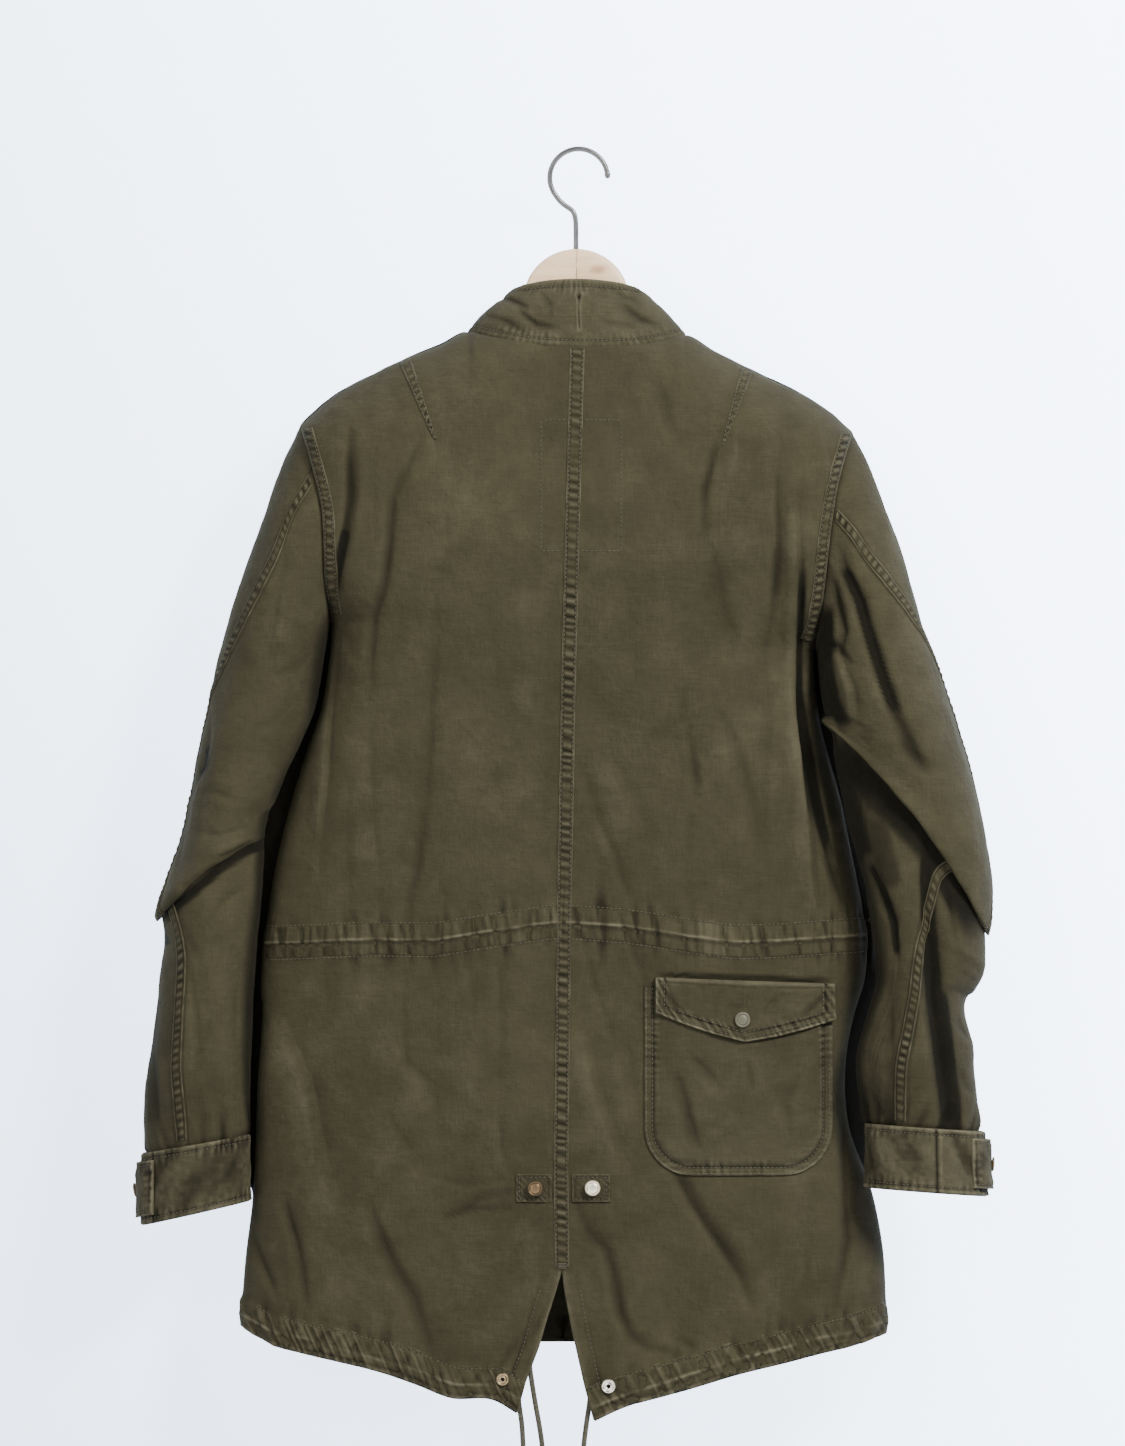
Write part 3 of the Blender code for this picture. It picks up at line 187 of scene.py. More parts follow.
# half width; height, below 0 for a valley; lean to its steeper side; route
CREASES = {
    (BACK, "left"): runs(3,
        (4.5, -4.6, -0.6, -175, -205, -176, -268, -180, -299, -187, -329, -192, -362),
        (4.5, -3.2, 0.5, -133, -240, -142, -268, -143, -299, -148, -333, -156, -360, -160, -410),
        (2.4, -1.6, -0.4, -109, -209, -108, -240), (3.2, -1.9, 0.4, -117, -212, -127, -237, -138, -266),
        (4, -1.2, 0.4, -172, -213, -156, -201, -134, -195),
        (8, -1.7, 0.5, -110, -300, -108, -375, -112, -436, -115, -498, -122, -551, -127, -602),
        (4, -1.7, 0.5, -119, -506, -121, -543, -129, -574, -127, -606),
        (9, -1.3, -0.4, -161, -405, -158, -482, -152, -543, -153, -595),
        (4, 1.8, 0.5, -186, -360, -192, -421, -196, -482, -205, -560),
        (7, -1.3, 0.4, -178, -480, -175, -536, -175, -600),
        (9, -1.1, 0.3, -26, -310, -23, -421, -26, -520, -22, -590),
        (13, -0.9, 0.3, -70, -330, -62, -400, -66, -470),
        (7.5, -3.6, 0.5, -161, -800, -148, -834, -137, -857, -125, -876, -117, -903, -107, -932),
        (4.5, -2.8, 0.5, -226, -797, -215, -838, -211, -861, -206, -890),
        (4, -2.6, 0.4, -252, -826, -242, -853, -230, -880),
        (3, -1.6, 0.4, -60, -735, -58, -765, -51, -786),
        (3, -2.1, 0.5, -46, -810, -64, -811, -83, -813, -110, -818),
        (3, -1.7, 0.5, -50, -800, -75, -803, -106, -822),
        (2.6, -1.2, 0.5, -48, -788, -83, -792, -116, -787),
        (4, -1, 0.5, -92, -770, -112, -778, -134, -776), (3.2, -1.4, 0.5, -22, -808, -44, -834, -57, -862),
        (3, -1.1, 0.5, -18, -812, -28, -836, -32, -860),
        (4.5, -1.7, 0.5, -147, -734, -137, -750, -125, -768),
        (6.5, -1.7, 0.5, -135, -606, -133, -650, -132, -696, -114, -712, -106, -735, -102, -785),
        (4.5, -1.5, 0.5, -64, -594, -60, -620, -58, -681, -62, -732),
        (5, 1.3, 0.5, -92, -612, -89, -640, -88, -664),
        (11, 2.4, 0.5, -240, -660, -213, -719, -202, -781, -188, -832),
        (3.2, -1.8, 0.4, -14, -866, -33, -903, -52, -932),
        (3.5, -2.2, 0.4, -43, -905, -56, -926, -66, -942),
        (8, -1.1, 0.4, -196, -612, -192, -650, -200, -690),
    ),
    (BACK, "right"): runs(3,
        (4, -2.9, 0.6, 113, -203, 105, -230, 98, -260, 95, -300),
        (13, -2, 0.4, 97, -290, 112, -345, 124, -392),
        (4.5, -3.3, -0.5, 152, -238, 153, -299, 150, -337, 144, -385),
        (3, 1.7, 0.5, 122, -212, 121, -234, 116, -256), (3.5, 1.6, 0.4, 182, -208, 190, -245, 193, -268),
        (6, 1.3, 0.4, 145, -195, 148, -225, 146, -255),
        (4.5, 3.4, 0.7, 164, -255, 167, -345, 167, -436, 173, -498, 179, -559, 183, -600),
        (4.2, -5, 0.4, 173, -310, 170, -360, 169, -413, 174, -452, 182, -498, 193, -544, 206, -585),
        (4, -2.2, 0.5, 84, -440, 91, -482, 89, -505), (8, -1.5, 0.4, 88, -500, 84, -545, 87, -590),
        (4.5, -2, 0.5, 0, -470, 16, -513, 28, -536, 38, -566, 42, -590),
        (9, 1.5, 0.5, 8, -455, 28, -490, 44, -530), (8, -1.7, 0.4, 60, -160, 71, -207, 86, -236),
        (9, -1.4, 0.4, 135, -310, 147, -421, 143, -513, 147, -590),
        (9, -1.6, 0.4, 95, -400, 120, -452, 135, -498, 139, -548),
        (9, -1.2, 0.4, 30, -305, 41, -360, 47, -425),
        (5, -3.6, 0.5, -4, -800, 9, -827, 23, -842, 28, -861, 33, -888, 41, -907, 51, -915, 80, -922),
        (6, -3.6, -0.5, 60, -758, 74, -781, 85, -804, 97, -823, 108, -838, 124, -861, 136, -894),
        (5, -3, 0.5, 202, -725, 205, -788, 208, -834, 200, -872, 194, -900),
        (7, 2.4, 0.5, 0, -672, 9, -720, 20, -750, 32, -792), (8, 1.6, 0.5, 16, -640, 32, -710, 41, -770),
        (5, -1.6, 0.5, 0, -598, 9, -620, 16, -651, 32, -700),
        (3.8, -2.2, 0.5, 31, -588, 43, -612, 54, -638, 47, -668),
        (3.4, -1.5, 0.5, 66, -905, 84, -914, 98, -926), (8, -1.2, 0.4, 166, -820, 176, -850, 174, -886),
        (7, -1.1, 0.4, 60, -860, 68, -885, 66, -905),
    ),
    (FRONT, "left"): runs(3,
        (5, -3.6, -0.5, -175, -240, -180, -310, -190, -372),
        (7, -2.6, 0.4, -135, -265, -142, -330, -152, -400),
        (7, -3, 0.5, -150, -790, -136, -850, -120, -905), (8, -1.8, 0.4, -70, -620, -88, -700, -96, -780),
        (5, -2.6, 0.5, -222, -790, -210, -845, -204, -890),
        (12, -1.4, 0.4, -90, -300, -84, -400, -92, -520),
        (5, 1.8, 0.5, -190, -380, -196, -470, -208, -560), (5, -1.6, 0.5, -60, -830, -82, -850, -98, -880),
    ),
    (FRONT, "right"): runs(3,
        (5, -3.4, -0.5, 150, -230, 149, -310, 144, -385),
        (8, -2.2, 0.4, 120, -280, 126, -350, 132, -440), (7, -2.8, 0.5, 60, -780, 78, -850, 92, -905),
        (5, -2.6, 0.5, 198, -690, 204, -780, 200, -850), (9, -1.6, 0.4, 84, -420, 90, -500, 86, -580),
        (12, -1.3, 0.4, 60, -300, 68, -380, 62, -460), (5, 2, 0.5, 164, -400, 170, -480, 182, -570),
    ),
}
SLEEVE_CREASES = {
    (BACK, "left"): runs(3,
        (3.5, -2.8, 0.5, -282, -418, -284, -452, -287, -470, -300, -497, -304, -522, -308, -553),
        (4, -1.6, 0.5, -303, -494, -282, -489, -260, -498),
        (4.5, -1.8, 0.5, -300, -519, -275, -524, -252, -519),
        (4, 1.8, 0.5, -250, -525, -266, -534, -282, -541),
        (6, -1.4, 0.5, -212, -420, -236, -440, -262, -448),
        (5, -1.6, 0.5, -248, -560, -268, -572, -290, -600),
        (6, -1.6, 0.5, -256, -610, -262, -660, -258, -725),
        (5, 1.4, 0.4, -300, -620, -296, -690, -299, -745),
        (4, -1.4, 0.5, -200, -380, -214, -398, -236, -404),
        (5, -2, 0.4, -322, -640, -326, -690, -322, -750),
        (8, -1.3, 0.4, -222, -300, -232, -360, -240, -410),
    ),
    (BACK, "right"): runs(3,
        (5.5, -6, 0.4, 197, -296, 204, -322, 217, -345, 225, -375, 235, -406, 247, -438, 268, -480),
        (3.2, -3.6, 0.4, 190, -312, 198, -345, 204, -368, 200, -388),
        (3.6, 3.2, 0.5, 196, -385, 207, -414, 209, -440), (3, -2.4, 0.5, 186, -372, 198, -380, 210, -394),
        (2.8, -1.8, 0.4, 283, -410, 296, -452, 304, -480), (8, 1.8, 0.4, 246, -330, 262, -380, 276, -430),
        (4, -1.4, 0.4, 252, -300, 266, -345, 272, -380), (5, -1.5, 0.5, 242, -450, 266, -468, 288, -474),
        (3.6, -4.4, 0.5, 220, -540, 232, -566, 241, -590, 244, -625),
        (7.5, -8, 0.2, 268, -535, 266, -578, 270, -612, 274, -651, 278, -689, 283, -727, 287, -762),
        (3, -2.4, 0.4, 274, -540, 284, -578, 290, -610), (3.2, 2.2, 0.5, 262, -560, 262, -610, 262, -640),
        (5, -1.8, 0.5, 238, -640, 240, -690, 234, -740), (2.8, -2.2, 0.4, 290, -662, 295, -672, 301, -682),
        (2.6, -1.6, 0.4, 292, -700, 297, -716, 302, -724), (3, -2, 0.4, 222, -716, 230, -734, 234, -748),
        (5, 1.6, 0.4, 222, -660, 216, -690, 219, -720),
    ),
    (FRONT, "left"): runs(3,
        (4.5, -3.4, 0.5, -246, -521, -266, -536, -292, -560, -322, -588),
        (5, -2.2, 0.5, -206, -400, -232, -424, -262, -440),
        (5, -2.2, 0.5, -256, -610, -270, -670, -268, -735),
        (5, -2, 0.4, -282, -400, -288, -450, -300, -500),
        (8, -1.8, 0.4, -222, -290, -236, -350, -246, -410),
    ),
    (FRONT, "right"): runs(3,
        (4, -2.6, 0.5, 190, -360, 212, -384, 236, -392), (5, -3, 0.5, 196, -420, 226, -470, 256, -525),
        (5, -2.2, 0.5, 230, -600, 246, -650, 250, -725), (4, -2, 0.5, 286, -640, 280, -690, 284, -745),
        (8, -1.8, 0.4, 240, -310, 254, -370, 270, -420),
    ),
}
# painted shade at the bottom of the deepest folds and just above the pocket flap: half width; depth; route
SHADOWS = {
    ("body", "left"): runs(2,
        (3.6, 0.9, -178, -290, -184, -320, -191, -352), (2.4, 0.9, -244, -650, -246, -690),
    ),
    ("body", "right"): runs(2,
        (3.4, 0.95, 172, -318, 170, -360, 170, -413, 176, -452, 184, -498, 194, -544),
        (3.5, 0.5, 183, -420, 188, -470, 198, -520), (1.7, 1, 58, -631, 100, -633, 150, -634.5, 196, -636),
    ),
    ("sleeve", "left"): runs(2,
        (2.6, 0.9, -285, -456, -285, -470, -291, -479), (5, 0.45, -324, -640, -327, -700, -325, -752),
    ),
    ("sleeve", "right"): runs(2,
        (6, 1, 189, -345, 190, -390, 195, -421, 206, -446),
        (4.2, 0.95, 202, -318, 215, -345, 223, -375, 234, -408, 243, -430),
        (3, 0.9, 222, -545, 232, -566, 240, -590, 243, -618),
        (6, 1, 267, -520, 267, -585, 270, -620, 274, -655, 278, -690, 282, -727, 286, -790),
        (5, 1, 278, -640, 283, -690, 288, -727, 291, -790),
    ),
}
# painted shade of the same kind, on the part of the sleeve that lies under the elbow's fold
UNDER_FOLD_SHADOWS = {
    "left": runs(2,
        (4.2, 1, -236, -526, -257, -538, -273, -549, -288, -562, -305, -577, -322, -594),
        (5, 1, -322, -594, -317, -610),
    ),
    "right": runs(2,
        (14, 1, 186, -446, 202, -464, 226, -490, 249, -511, 270, -533, 284, -554, 300, -580, 312, -606),
        (13, 1, 200, -478, 207, -510, 216, -545), (9, 0.6, 228, -508, 232, -535, 240, -566),
    ),
}
FOLD_RING = {"left": 12, "right": 10}
COLLAR_CREASES = runs(3,
    (2.4, -2.6, 0.5, -62, -113, -52, -113.5, -38, -121),
    (2.4, -2.6, 0.5, -46, -122, -32, -133, -18, -136), (3, -2, 0.5, -72, -126, -55, -131, -38, -142),
    (3.4, -1.4, 0.4, -30, -106, -22, -118, -20, -130), (2.6, -1.8, 0.5, 24, -104, 34, -112, 46, -116),
    (3.2, -1.9, 0.5, 34, -118, 48, -128, 66, -136), (3.2, -1.1, 0.4, 10, -126, 24, -132, 44, -134),
)
POCKET_CREASES = runs(3,
    (6, -2.2, 0.5, 76, -705, 85, -740, 94, -766), (6, -1.4, 0.4, 84, -690, 98, -705, 112, -722),
    (3, -1.4, 0.4, 128, -694, 131, -706, 132, -722), (6, -1.2, 0.5, 172, -700, 160, -730, 164, -764),
)
FLAP_CREASES = runs(3,
    (2.6, -1.6, 0.4, 66, -640, 72, -652, 80, -664), (2.2, -1.4, 0.4, 128, -642, 127, -652, 126, -660),
    (2.8, -1.3, 0.4, 156, -644, 148, -654, 140, -666), (2.6, -1.5, 0.4, 188, -644, 180, -656, 170, -664),
    (3, -1.1, 0.4, 98, -644, 104, -656, 106, -668),
)

# Pocket: the bag's sides, top, bottom and corner; the flat flange round it; the flap
POCKET_SIDES = (50.5, 194)
POCKET_MIDDLE, POCKET_HALF = sum(POCKET_SIDES) / 2, (POCKET_SIDES[1] - POCKET_SIDES[0]) / 2
POCKET_TOP = -640
POCKET_BOTTOM = -785
POCKET_CORNER = 37
FLANGE = 7.5
FLAP = {
    "left": 59, "right": 194.5, "top_left": -633.4, "top_right": -638.4, "side_drop": 27, "point_drop": 47,
}
FLAP_SNAP = (124.6, -666)
# name, side, x from, x to, top, bottom
VENT_TABS = (
    ("vent_tab_left", "left", -47.8, -20.5, -783.7, -805.2),
    ("vent_tab_right", "right", -5, 24.1, -783.7, -805.2),
)
# left, right, top and bottom of the stitches left by a label
LABEL = (-28.7, 32.5, -207, -307)
CUFF_LAP = {"left": 36, "right": 77}
PLACKET_SHARE = 0.14
PLACKET_SNAPS = (-235, -345, -455, -565, -675, -785)

# ---- hanger and cords
DOME_TOP = -74.8
DOME_RADIUS = 41.5
DOME_X = -1.6
NECK_WOOD = np.array(((39, -108), (45, -121.5), (52, -132), (60, -141), (72, -150.5), (84, -153)))
CORDS = {
    "drawcord_left": (
        (-46.2, -49.4, -946), (-45.6, -49.5, -958), (-43.5, -49.6, -974), (-42.3, -49.8, -992),
        (-41.5, -50, -1030), (-43, -50, -1075), (-41, -50, -1118),
    ),
    "drawcord_middle": (
        (-38.8, -48.4, -918), (-37.2, -48.8, -932), (-35.2, -49.2, -946), (-32.5, -49.5, -962),
        (-29.8, -49.8, -977), (-27.7, -50, -992), (-26, -50, -1030), (-27.6, -50, -1068),
        (-25.5, -50, -1102),
    ),
    "drawcord_right": (
        (9.6, -49.4, -948), (8.2, -49.5, -960), (6, -49.6, -975), (4, -49.8, -992), (3, -50, -1030),
        (4.8, -50, -1078), (3.4, -50, -1124),
    ),
}
# name, side, x, height, diameter, lift over the panel, kind
BACK_SNAPS = (
    ("vent_snap_left", "left", -33.2, -794.8, 12, 3, "cap"),
    ("vent_snap_right", "right", 10.7, -794.4, 12, 3, "cap"),
    ("tail_snap_left", "left", -58.1, -940.6, 9.6, 1, "socket"),
    ("tail_snap_right", "right", 23.2, -945.5, 10.7, 1, "socket"),
)
CUFF_SNAP = {"left": -10, "right": 0}
# width, length of the smallest rectangle of cloth that each piece is cut from, and its flat area
CUTS = {
    "back_left": ((0.33, 0.84), 0.215), "back_right": ((0.32, 0.84), 0.205),
    "front_left": ((0.32, 0.79), 0.195), "front_right": ((0.31, 0.79), 0.185),
    "undersleeve_left": ((0.16, 0.56), 0.06), "undersleeve_right": ((0.16, 0.56), 0.06),
    "uppersleeve_left": ((0.26, 0.62), 0.1), "uppersleeve_right": ((0.26, 0.62), 0.1),
    "cuff": ((0.27, 0.11), 0.028), "cuff_tab": ((0.075, 0.04), None), "collar": ((0.46, 0.115), 0.045),
    "placket": ((0.07, 0.72), 0.05), "pocket_bag": ((0.15, 0.15), 0.02),
    "pocket_flap": ((0.14, 0.05), 0.0055), "vent_tab": ((0.03, 0.023), None),
}


# ---- curves and noise
def smooth(x, xs, ys):
    """A cubic through the points (xs, ys), each with the slope of its neighbours, level past the ends."""
    x = np.clip(x, xs[0], xs[-1])
    slopes = np.gradient(ys, xs, axis=0)
    i = np.clip(np.searchsorted(xs, x) - 1, 0, len(xs) - 2)
    span = xs[i + 1] - xs[i]
    t = (x - xs[i]) / span
    if np.ndim(ys) > 1:
        span, t = (np.reshape(v, np.shape(v) + (1,) * (np.ndim(ys) - 1)) for v in (span, t))
    return (
        (1 + 2 * t) * (1 - t) ** 2 * ys[i]
        + t * (1 - t) ** 2 * span * slopes[i]
        + t**2 * (3 - 2 * t) * ys[i + 1]
        - t**2 * (1 - t) * span * slopes[i + 1]
    )


def held(v):
    return np.clip(v, 0, 1)


def unit(v):
    return v / np.maximum(np.linalg.norm(v, axis=-1, keepdims=True), 1e-9)


def step(x, start, end):
    """0 before start, 1 after end, and 3t^2 - 2t^3 between them."""
    t = held((x - start) / (end - start))
    return t * t * (3 - 2 * t)


def run_lengths(points, axis=0):
    """The length run along an axis of points, from its first point to each of them."""
    gaps = np.linalg.norm(np.diff(points, axis=axis), axis=-1)
    none = np.zeros_like(np.take(gaps, [0], axis=axis))
    return np.concatenate([none, np.cumsum(gaps, axis=axis)], axis=axis)


def bell(x, width):
    return np.exp(-((x / width) ** 2))


def wave(s, pitch, seed):
    """Value noise along one length: a random number every pitch, eased between neighbours, -1 to 1."""
    table = np.random.default_rng(seed).uniform(-1, 1, 512)
    at = s / pitch + 100
    whole = np.floor(at).astype(int)
    ease = step(at - whole, 0, 1)
    return table[whole % 512] * (1 - ease) + table[(whole + 1) % 512] * ease


def rumple(x, z, pitch, seed, stretch=1):
    """Value noise over a plane: a random number at each corner of a net, eased between them."""
    table = np.random.default_rng(seed).uniform(-1, 1, (256, 256))
    u, v = x / pitch + 120, z / (pitch * stretch) + 120
    i, j = np.floor(u).astype(int), np.floor(v).astype(int)
    p, q = step(u - i, 0, 1), step(v - j, 0, 1)
    i, j = i % 255, j % 255
    lower = table[i, j] * (1 - p) + table[i + 1, j] * p
    upper = table[i, j + 1] * (1 - p) + table[i + 1, j + 1] * p
    return lower * (1 - q) + upper * q


# ---- creases
def route_distance(x, z, route):
    """Signed distance of each point from a run of straight stretches, and its share along the run."""
    route = np.asarray(route, dtype=float)
    lengths = np.linalg.norm(np.diff(route, axis=0), axis=1)
    before = np.concatenate([[0], np.cumsum(lengths)])
    best = np.full(x.shape, 1e9)
    along = np.zeros(x.shape)
    for start, end, length, done in zip(route[:-1], route[1:], lengths, before):
        way = (end - start) / length
        t = np.clip((x - start[0]) * way[0] + (z - start[1]) * way[1], 0, length)
        gap_x, gap_z = x - start[0] - way[0] * t, z - start[1] - way[1] * t
        distance = np.hypot(gap_x, gap_z)
        side = np.where(way[0] * gap_z - way[1] * gap_x < 0, -1, 1)
        nearer = distance < abs(best)
        best = np.where(nearer, distance * side, best)
        along = np.where(nearer, done + t, along)
    return best, along / before[-1]


def crease_height(x, z, creases):
    """Sum of creases: each is a route, a half width, a height and a lean.

    Across its route a valley is height * exp(-|d| / width), sharp at its bottom, with a low bell
    beside it. A ridge is height * exp(-(d / width)^2) with a sharp trough beyond its steep side.
    Both are narrower on the side they lean to. Along the route they swell and die away as
    sin(pi * t)^0.6, and their height and place wander a little.
    """
    height = np.zeros(x.shape)
    for number, (route, width, peak, lean) in enumerate(creases):
        route = np.asarray(route, dtype=float)
        reach = 4.5 * width
        low, high = route.min(axis=0) - reach, route.max(axis=0) + reach
        near = (x > low[0]) & (x < high[0]) & (z > low[1]) & (z < high[1])
        if not near.any():
            continue
        distance, along = route_distance(x[near], z[near], route)
        length = np.linalg.norm(np.diff(route, axis=0), axis=1).sum()
        at = along * length
        swell = np.sin(np.pi * np.clip(along, 0.001, 0.999)) ** 0.6 * (1 + 0.22 * wave(at, 19, number))
        turned = distance * math.copysign(1, lean) + (0.08 * width + 0.2) * wave(at, 30, number + 50)
        local = width * np.where(turned > 0, 1 - abs(lean), 1 + 1.3 * abs(lean))
        if peak < 0:
            rounded = np.sqrt(turned**2 + 0.6) - 0.75
            shape = np.exp(-rounded / local) - 0.22 * bell(turned + 1.9 * width, width)
        else:
            foot = abs(turned - 1.1 * width)
            shape = bell(turned, local * 1.15) - abs(lean) * np.exp(-foot / (0.45 * width))
        height[near] += peak * swell * shape
    return height


def pucker(across, along, seed, half, pitch=7):
    """Short wrinkles square to a seam: fullest 0.55 half widths out, gone by 2.2 of them."""
    phase = 2 * np.pi * along / pitch + 2.2 * wave(along, 23, seed) + 1.6 * wave(along, 9, seed + 5)
    beat = 0.3 * np.sin(phase) + 0.35 * wave(along + 0.3 * across, pitch * 0.5, seed + 6)
    strength = np.clip(0.6 + 0.55 * wave(along, 17, seed + 7), 0.1, 1.2)
    return beat * strength * bell(abs(across) - half * 0.55, half * 0.75)


# ---- meshes
def grid_faces(rows, columns, closed=False):
    """Quads of a grid, which joins its last column to its first where it is closed."""
    r = np.arange(rows - 1)[:, None]
    c = np.arange(columns if closed else columns - 1)[None, :]
    across = (c + 1) % columns
    quads = (r * columns + c, (r + 1) * columns + c, (r + 1) * columns + across, r * columns + across)
    return np.stack(quads, axis=-1).reshape(-1, 4)


def grid_normals(points, closed=False):
    """Unit cross product of the grid's two directions."""
    if closed:
        points = np.concatenate([points[:, -1:], points, points[:, :1]], axis=1)
    normals = unit(np.cross(np.gradient(points, axis=0), np.gradient(points, axis=1)))
    return normals[:, 1:-1] if closed else normals


def blurred(field, times, closed=False):
    """The field averaged with its neighbours a number of times."""
    for _ in range(times):
        wide = np.pad(field, ((1, 1), (0, 0)), mode="edge")
        field = (wide[:-2] + 2 * field + wide[2:]) / 4
        wide = np.pad(field, ((0, 0), (1, 1)), mode="wrap" if closed else "edge")
        field = (wide[:, :-2] + 2 * field + wide[:, 2:]) / 4
    return field


def new_object(name, points, faces, material, smooth_shade=True):
    """One mesh object from points in millimetres and faces of one size."""
    faces = np.asarray(faces)
    mesh = bpy.data.meshes.new(name)
    mesh.vertices.add(len(points))
    mesh.vertices.foreach_set("co", (np.asarray(points) * MM).astype(np.float32).ravel())
    size = faces.shape[1]
    mesh.loops.add(faces.size)
    mesh.loops.foreach_set("vertex_index", faces.astype(np.int32).ravel())
    mesh.polygons.add(len(faces))
    mesh.polygons.foreach_set("loop_start", np.arange(len(faces), dtype=np.int32) * size)
    mesh.polygons.foreach_set("use_smooth", np.full(len(faces), smooth_shade))
    mesh.update(calc_edges=True)
    mesh.validate()
    mesh.materials.append(material)
    obj = bpy.data.objects.new(name, mesh)
    bpy.context.scene.collection.objects.link(obj)
    return obj


def set_attribute(obj, name, values):
    layer = obj.data.attributes.new(name, "FLOAT", "POINT")
    layer.data.foreach_set("value", np.asarray(values, dtype=np.float32).ravel())


def set_uv(obj, u, v):
    """A UV map in metres, from a value for each point."""
    layer = obj.data.uv_layers.new(name="cloth")
    index = np.empty(len(obj.data.loops), dtype=np.int32)
    obj.data.loops.foreach_get("vertex_index", index)
    pairs = np.stack([np.ravel(u), np.ravel(v)], axis=-1)[index] * MM
    layer.data.foreach_set("uv", pairs.astype(np.float32).ravel())


def shadow_depth(x, z, shadows):
    """Painted shade of the deepest folds at each point, 0 to 1: each is a route, a half width and a depth.
    """
    deep = np.zeros(x.shape)
    for route, width, depth in shadows:
        distance, along = route_distance(x, z, route)
        ends = step(along, 0, 0.12) * step(1 - along, 0, 0.12)
        deep = np.maximum(deep, depth * np.exp(-((distance / width) ** 6)) * ends**0.7)
    return deep


def stand_in(piece, node):
    """The piece is shown for a CAD node, whose own part is hidden."""
    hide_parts(node)
    return piece


THREADS = {}


def sew(name, points, normals, lift=0.25):
    """Keep a run of points for the thread that is laid when the stitches are made."""
    THREADS.setdefault(name + "_thread", []).append((points + unit(normals) * lift, normals))


def at_rows(grid, index):
    """The grid's values at a fractional row in each column."""
    whole = index.astype(int)
    part = (index - whole)[:, None]
    column = np.arange(grid.shape[1])
    return grid[whole, column] * (1 - part) + grid[whole + 1, column] * part


def add_cloth(name, points, towards, material, u, v, wear, shade, closed=False, columns=(), rows=()):
    """A shell of cloth from a grid of points, with its weave map, its wear and its painted shade.

    towards says which way is out, and a line of stitches runs down each named column and row.
    """
    faces = grid_faces(*points.shape[:2], closed)
    normals = grid_normals(points, closed)
    if (normals * towards).sum() < 0:
        faces = faces[:, ::-1]
    obj = new_object(name, points.reshape(-1, 3), faces, material)
    set_uv(obj, u, v)
    set_attribute(obj, "wear", wear)
    # painted shade: darkness painted into the cloth where shade falls in its hollows, grooves and folds
    set_attribute(obj, "shade", shade)
    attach(obj, BODY)
    for line in [np.s_[:, column] for column in columns] + [np.s_[row] for row in rows]:
        sew(name, points[line], towards[line])
    return obj


# ---- the body's form
def top_line(side, face, share):
    """The height of the panel's top; a front's shoulder is its back's, and its neckline dips below."""
    back = smooth(share, TOP[:, 0], TOP[:, COLUMN[BACK, side]])
    if face == BACK:
        return back
    dip = np.interp(share, TOP[:, 0], TOP[:, COLUMN[FRONT, side]] - TOP[:, COLUMN[BACK, side]])
    return back + dip


def hem_line(side, face, share):
    return smooth(share, HEM[:, 0], HEM[:, COLUMN[face, side]])


def edge_x(side, z):
    return smooth(-z, -EDGE[side][:, 0], EDGE[side][:, 1])


def centre_x(side, face, z):
    table = CENTRE[face, side]
    return np.interp(-z, -table[:, 0], table[:, 1])


def panel_x(side, face, share, z):
    inner = centre_x(side, face, z)
    return inner + share * (edge_x(side, z) - inner)


def armhole_depth(side, z, top):
    """Half the armhole's depth: an ellipse from the panel's top, easing out at the underarm."""
    middle = (top + UNDERARM[side]) / 2
    half = (top - UNDERARM[side]) / 2
    at = (z - middle) / half
    power = 0.5 + 0.5 * step(-at, 0.2, 1)
    return ARMHOLE_DEPTH * held(1 - at**2) ** power


def arm_gap(side, z):
    """The gap seen between the body's side and the sleeve beside it, none above or below them."""
    rows = SLEEVE[side]
    inner = np.interp(-z, -rows[:, 3], rows[:, 2])
    gap = SIDES[side] * (inner - edge_x(side, z))
    return np.clip(gap, 0, 20) * step(z, -806, -782) * step(-z, 350, 360)


def fold_height(side, face, x, z, share):
    """The largest soft folds: peak * exp(-((x - at) / width)^2), fading at their ends."""
    height = np.zeros(x.shape)
    for of_side, of_face, at, top, bottom, width, peak in FOLDS:
        if (of_side, of_face) == (side, face):
            along = held((top - z) / (top - bottom))
            height += peak * bell(x - at, width) * np.sin(np.pi * along) ** 0.8
    return height * (1 - share**6) * held(share / 0.12)


def body_point(side, face, share, down):
    """share of the way out from the centre line, down from the top line to the hem.

    x runs evenly from centre to side. The depth falls to the side as sqrt(1 - share^3), and
    at the top it closes over the shoulder as a quarter of a circle.
    """
    top = top_line(side, face, share)
    z = top + (hem_line(side, face, share) - top) * down
    inner = centre_x(side, face, z)
    x = inner + share * (edge_x(side, z) - inner)
    full = smooth(-z, -DEPTH[:, 0], DEPTH[:, 1 if face == BACK else 2])
    arm = armhole_depth(side, z, top)
    body = arm + (full - arm) * np.sqrt(held(1 - share**3))
    body = body + fold_height(side, face, x, z, share)
    if face == FRONT:
        roll = step(share, 0.88, 0.98) * np.sqrt(held((1 - share) / 0.02))
        gap = arm_gap(side, z)
        short = (4 + 0.02 * abs(edge_x(side, z) - inner)) * held(gap / 3)
        x = x + SIDES[side] * roll * (gap * FRONT_ROLL + short + 1.2)
    neck = NECK_DEPTH[face] * np.sqrt(held(1 - (share / NECK_SHARE) ** 2))
    rounding = SHOULDER_ROUND * (1 - share**8) + 2
    ridge = np.sqrt(1 - (1 - held((top - z) / rounding)) ** 2)
    return np.stack([x, face * (neck + (body - neck) * ridge), z], axis=-1)


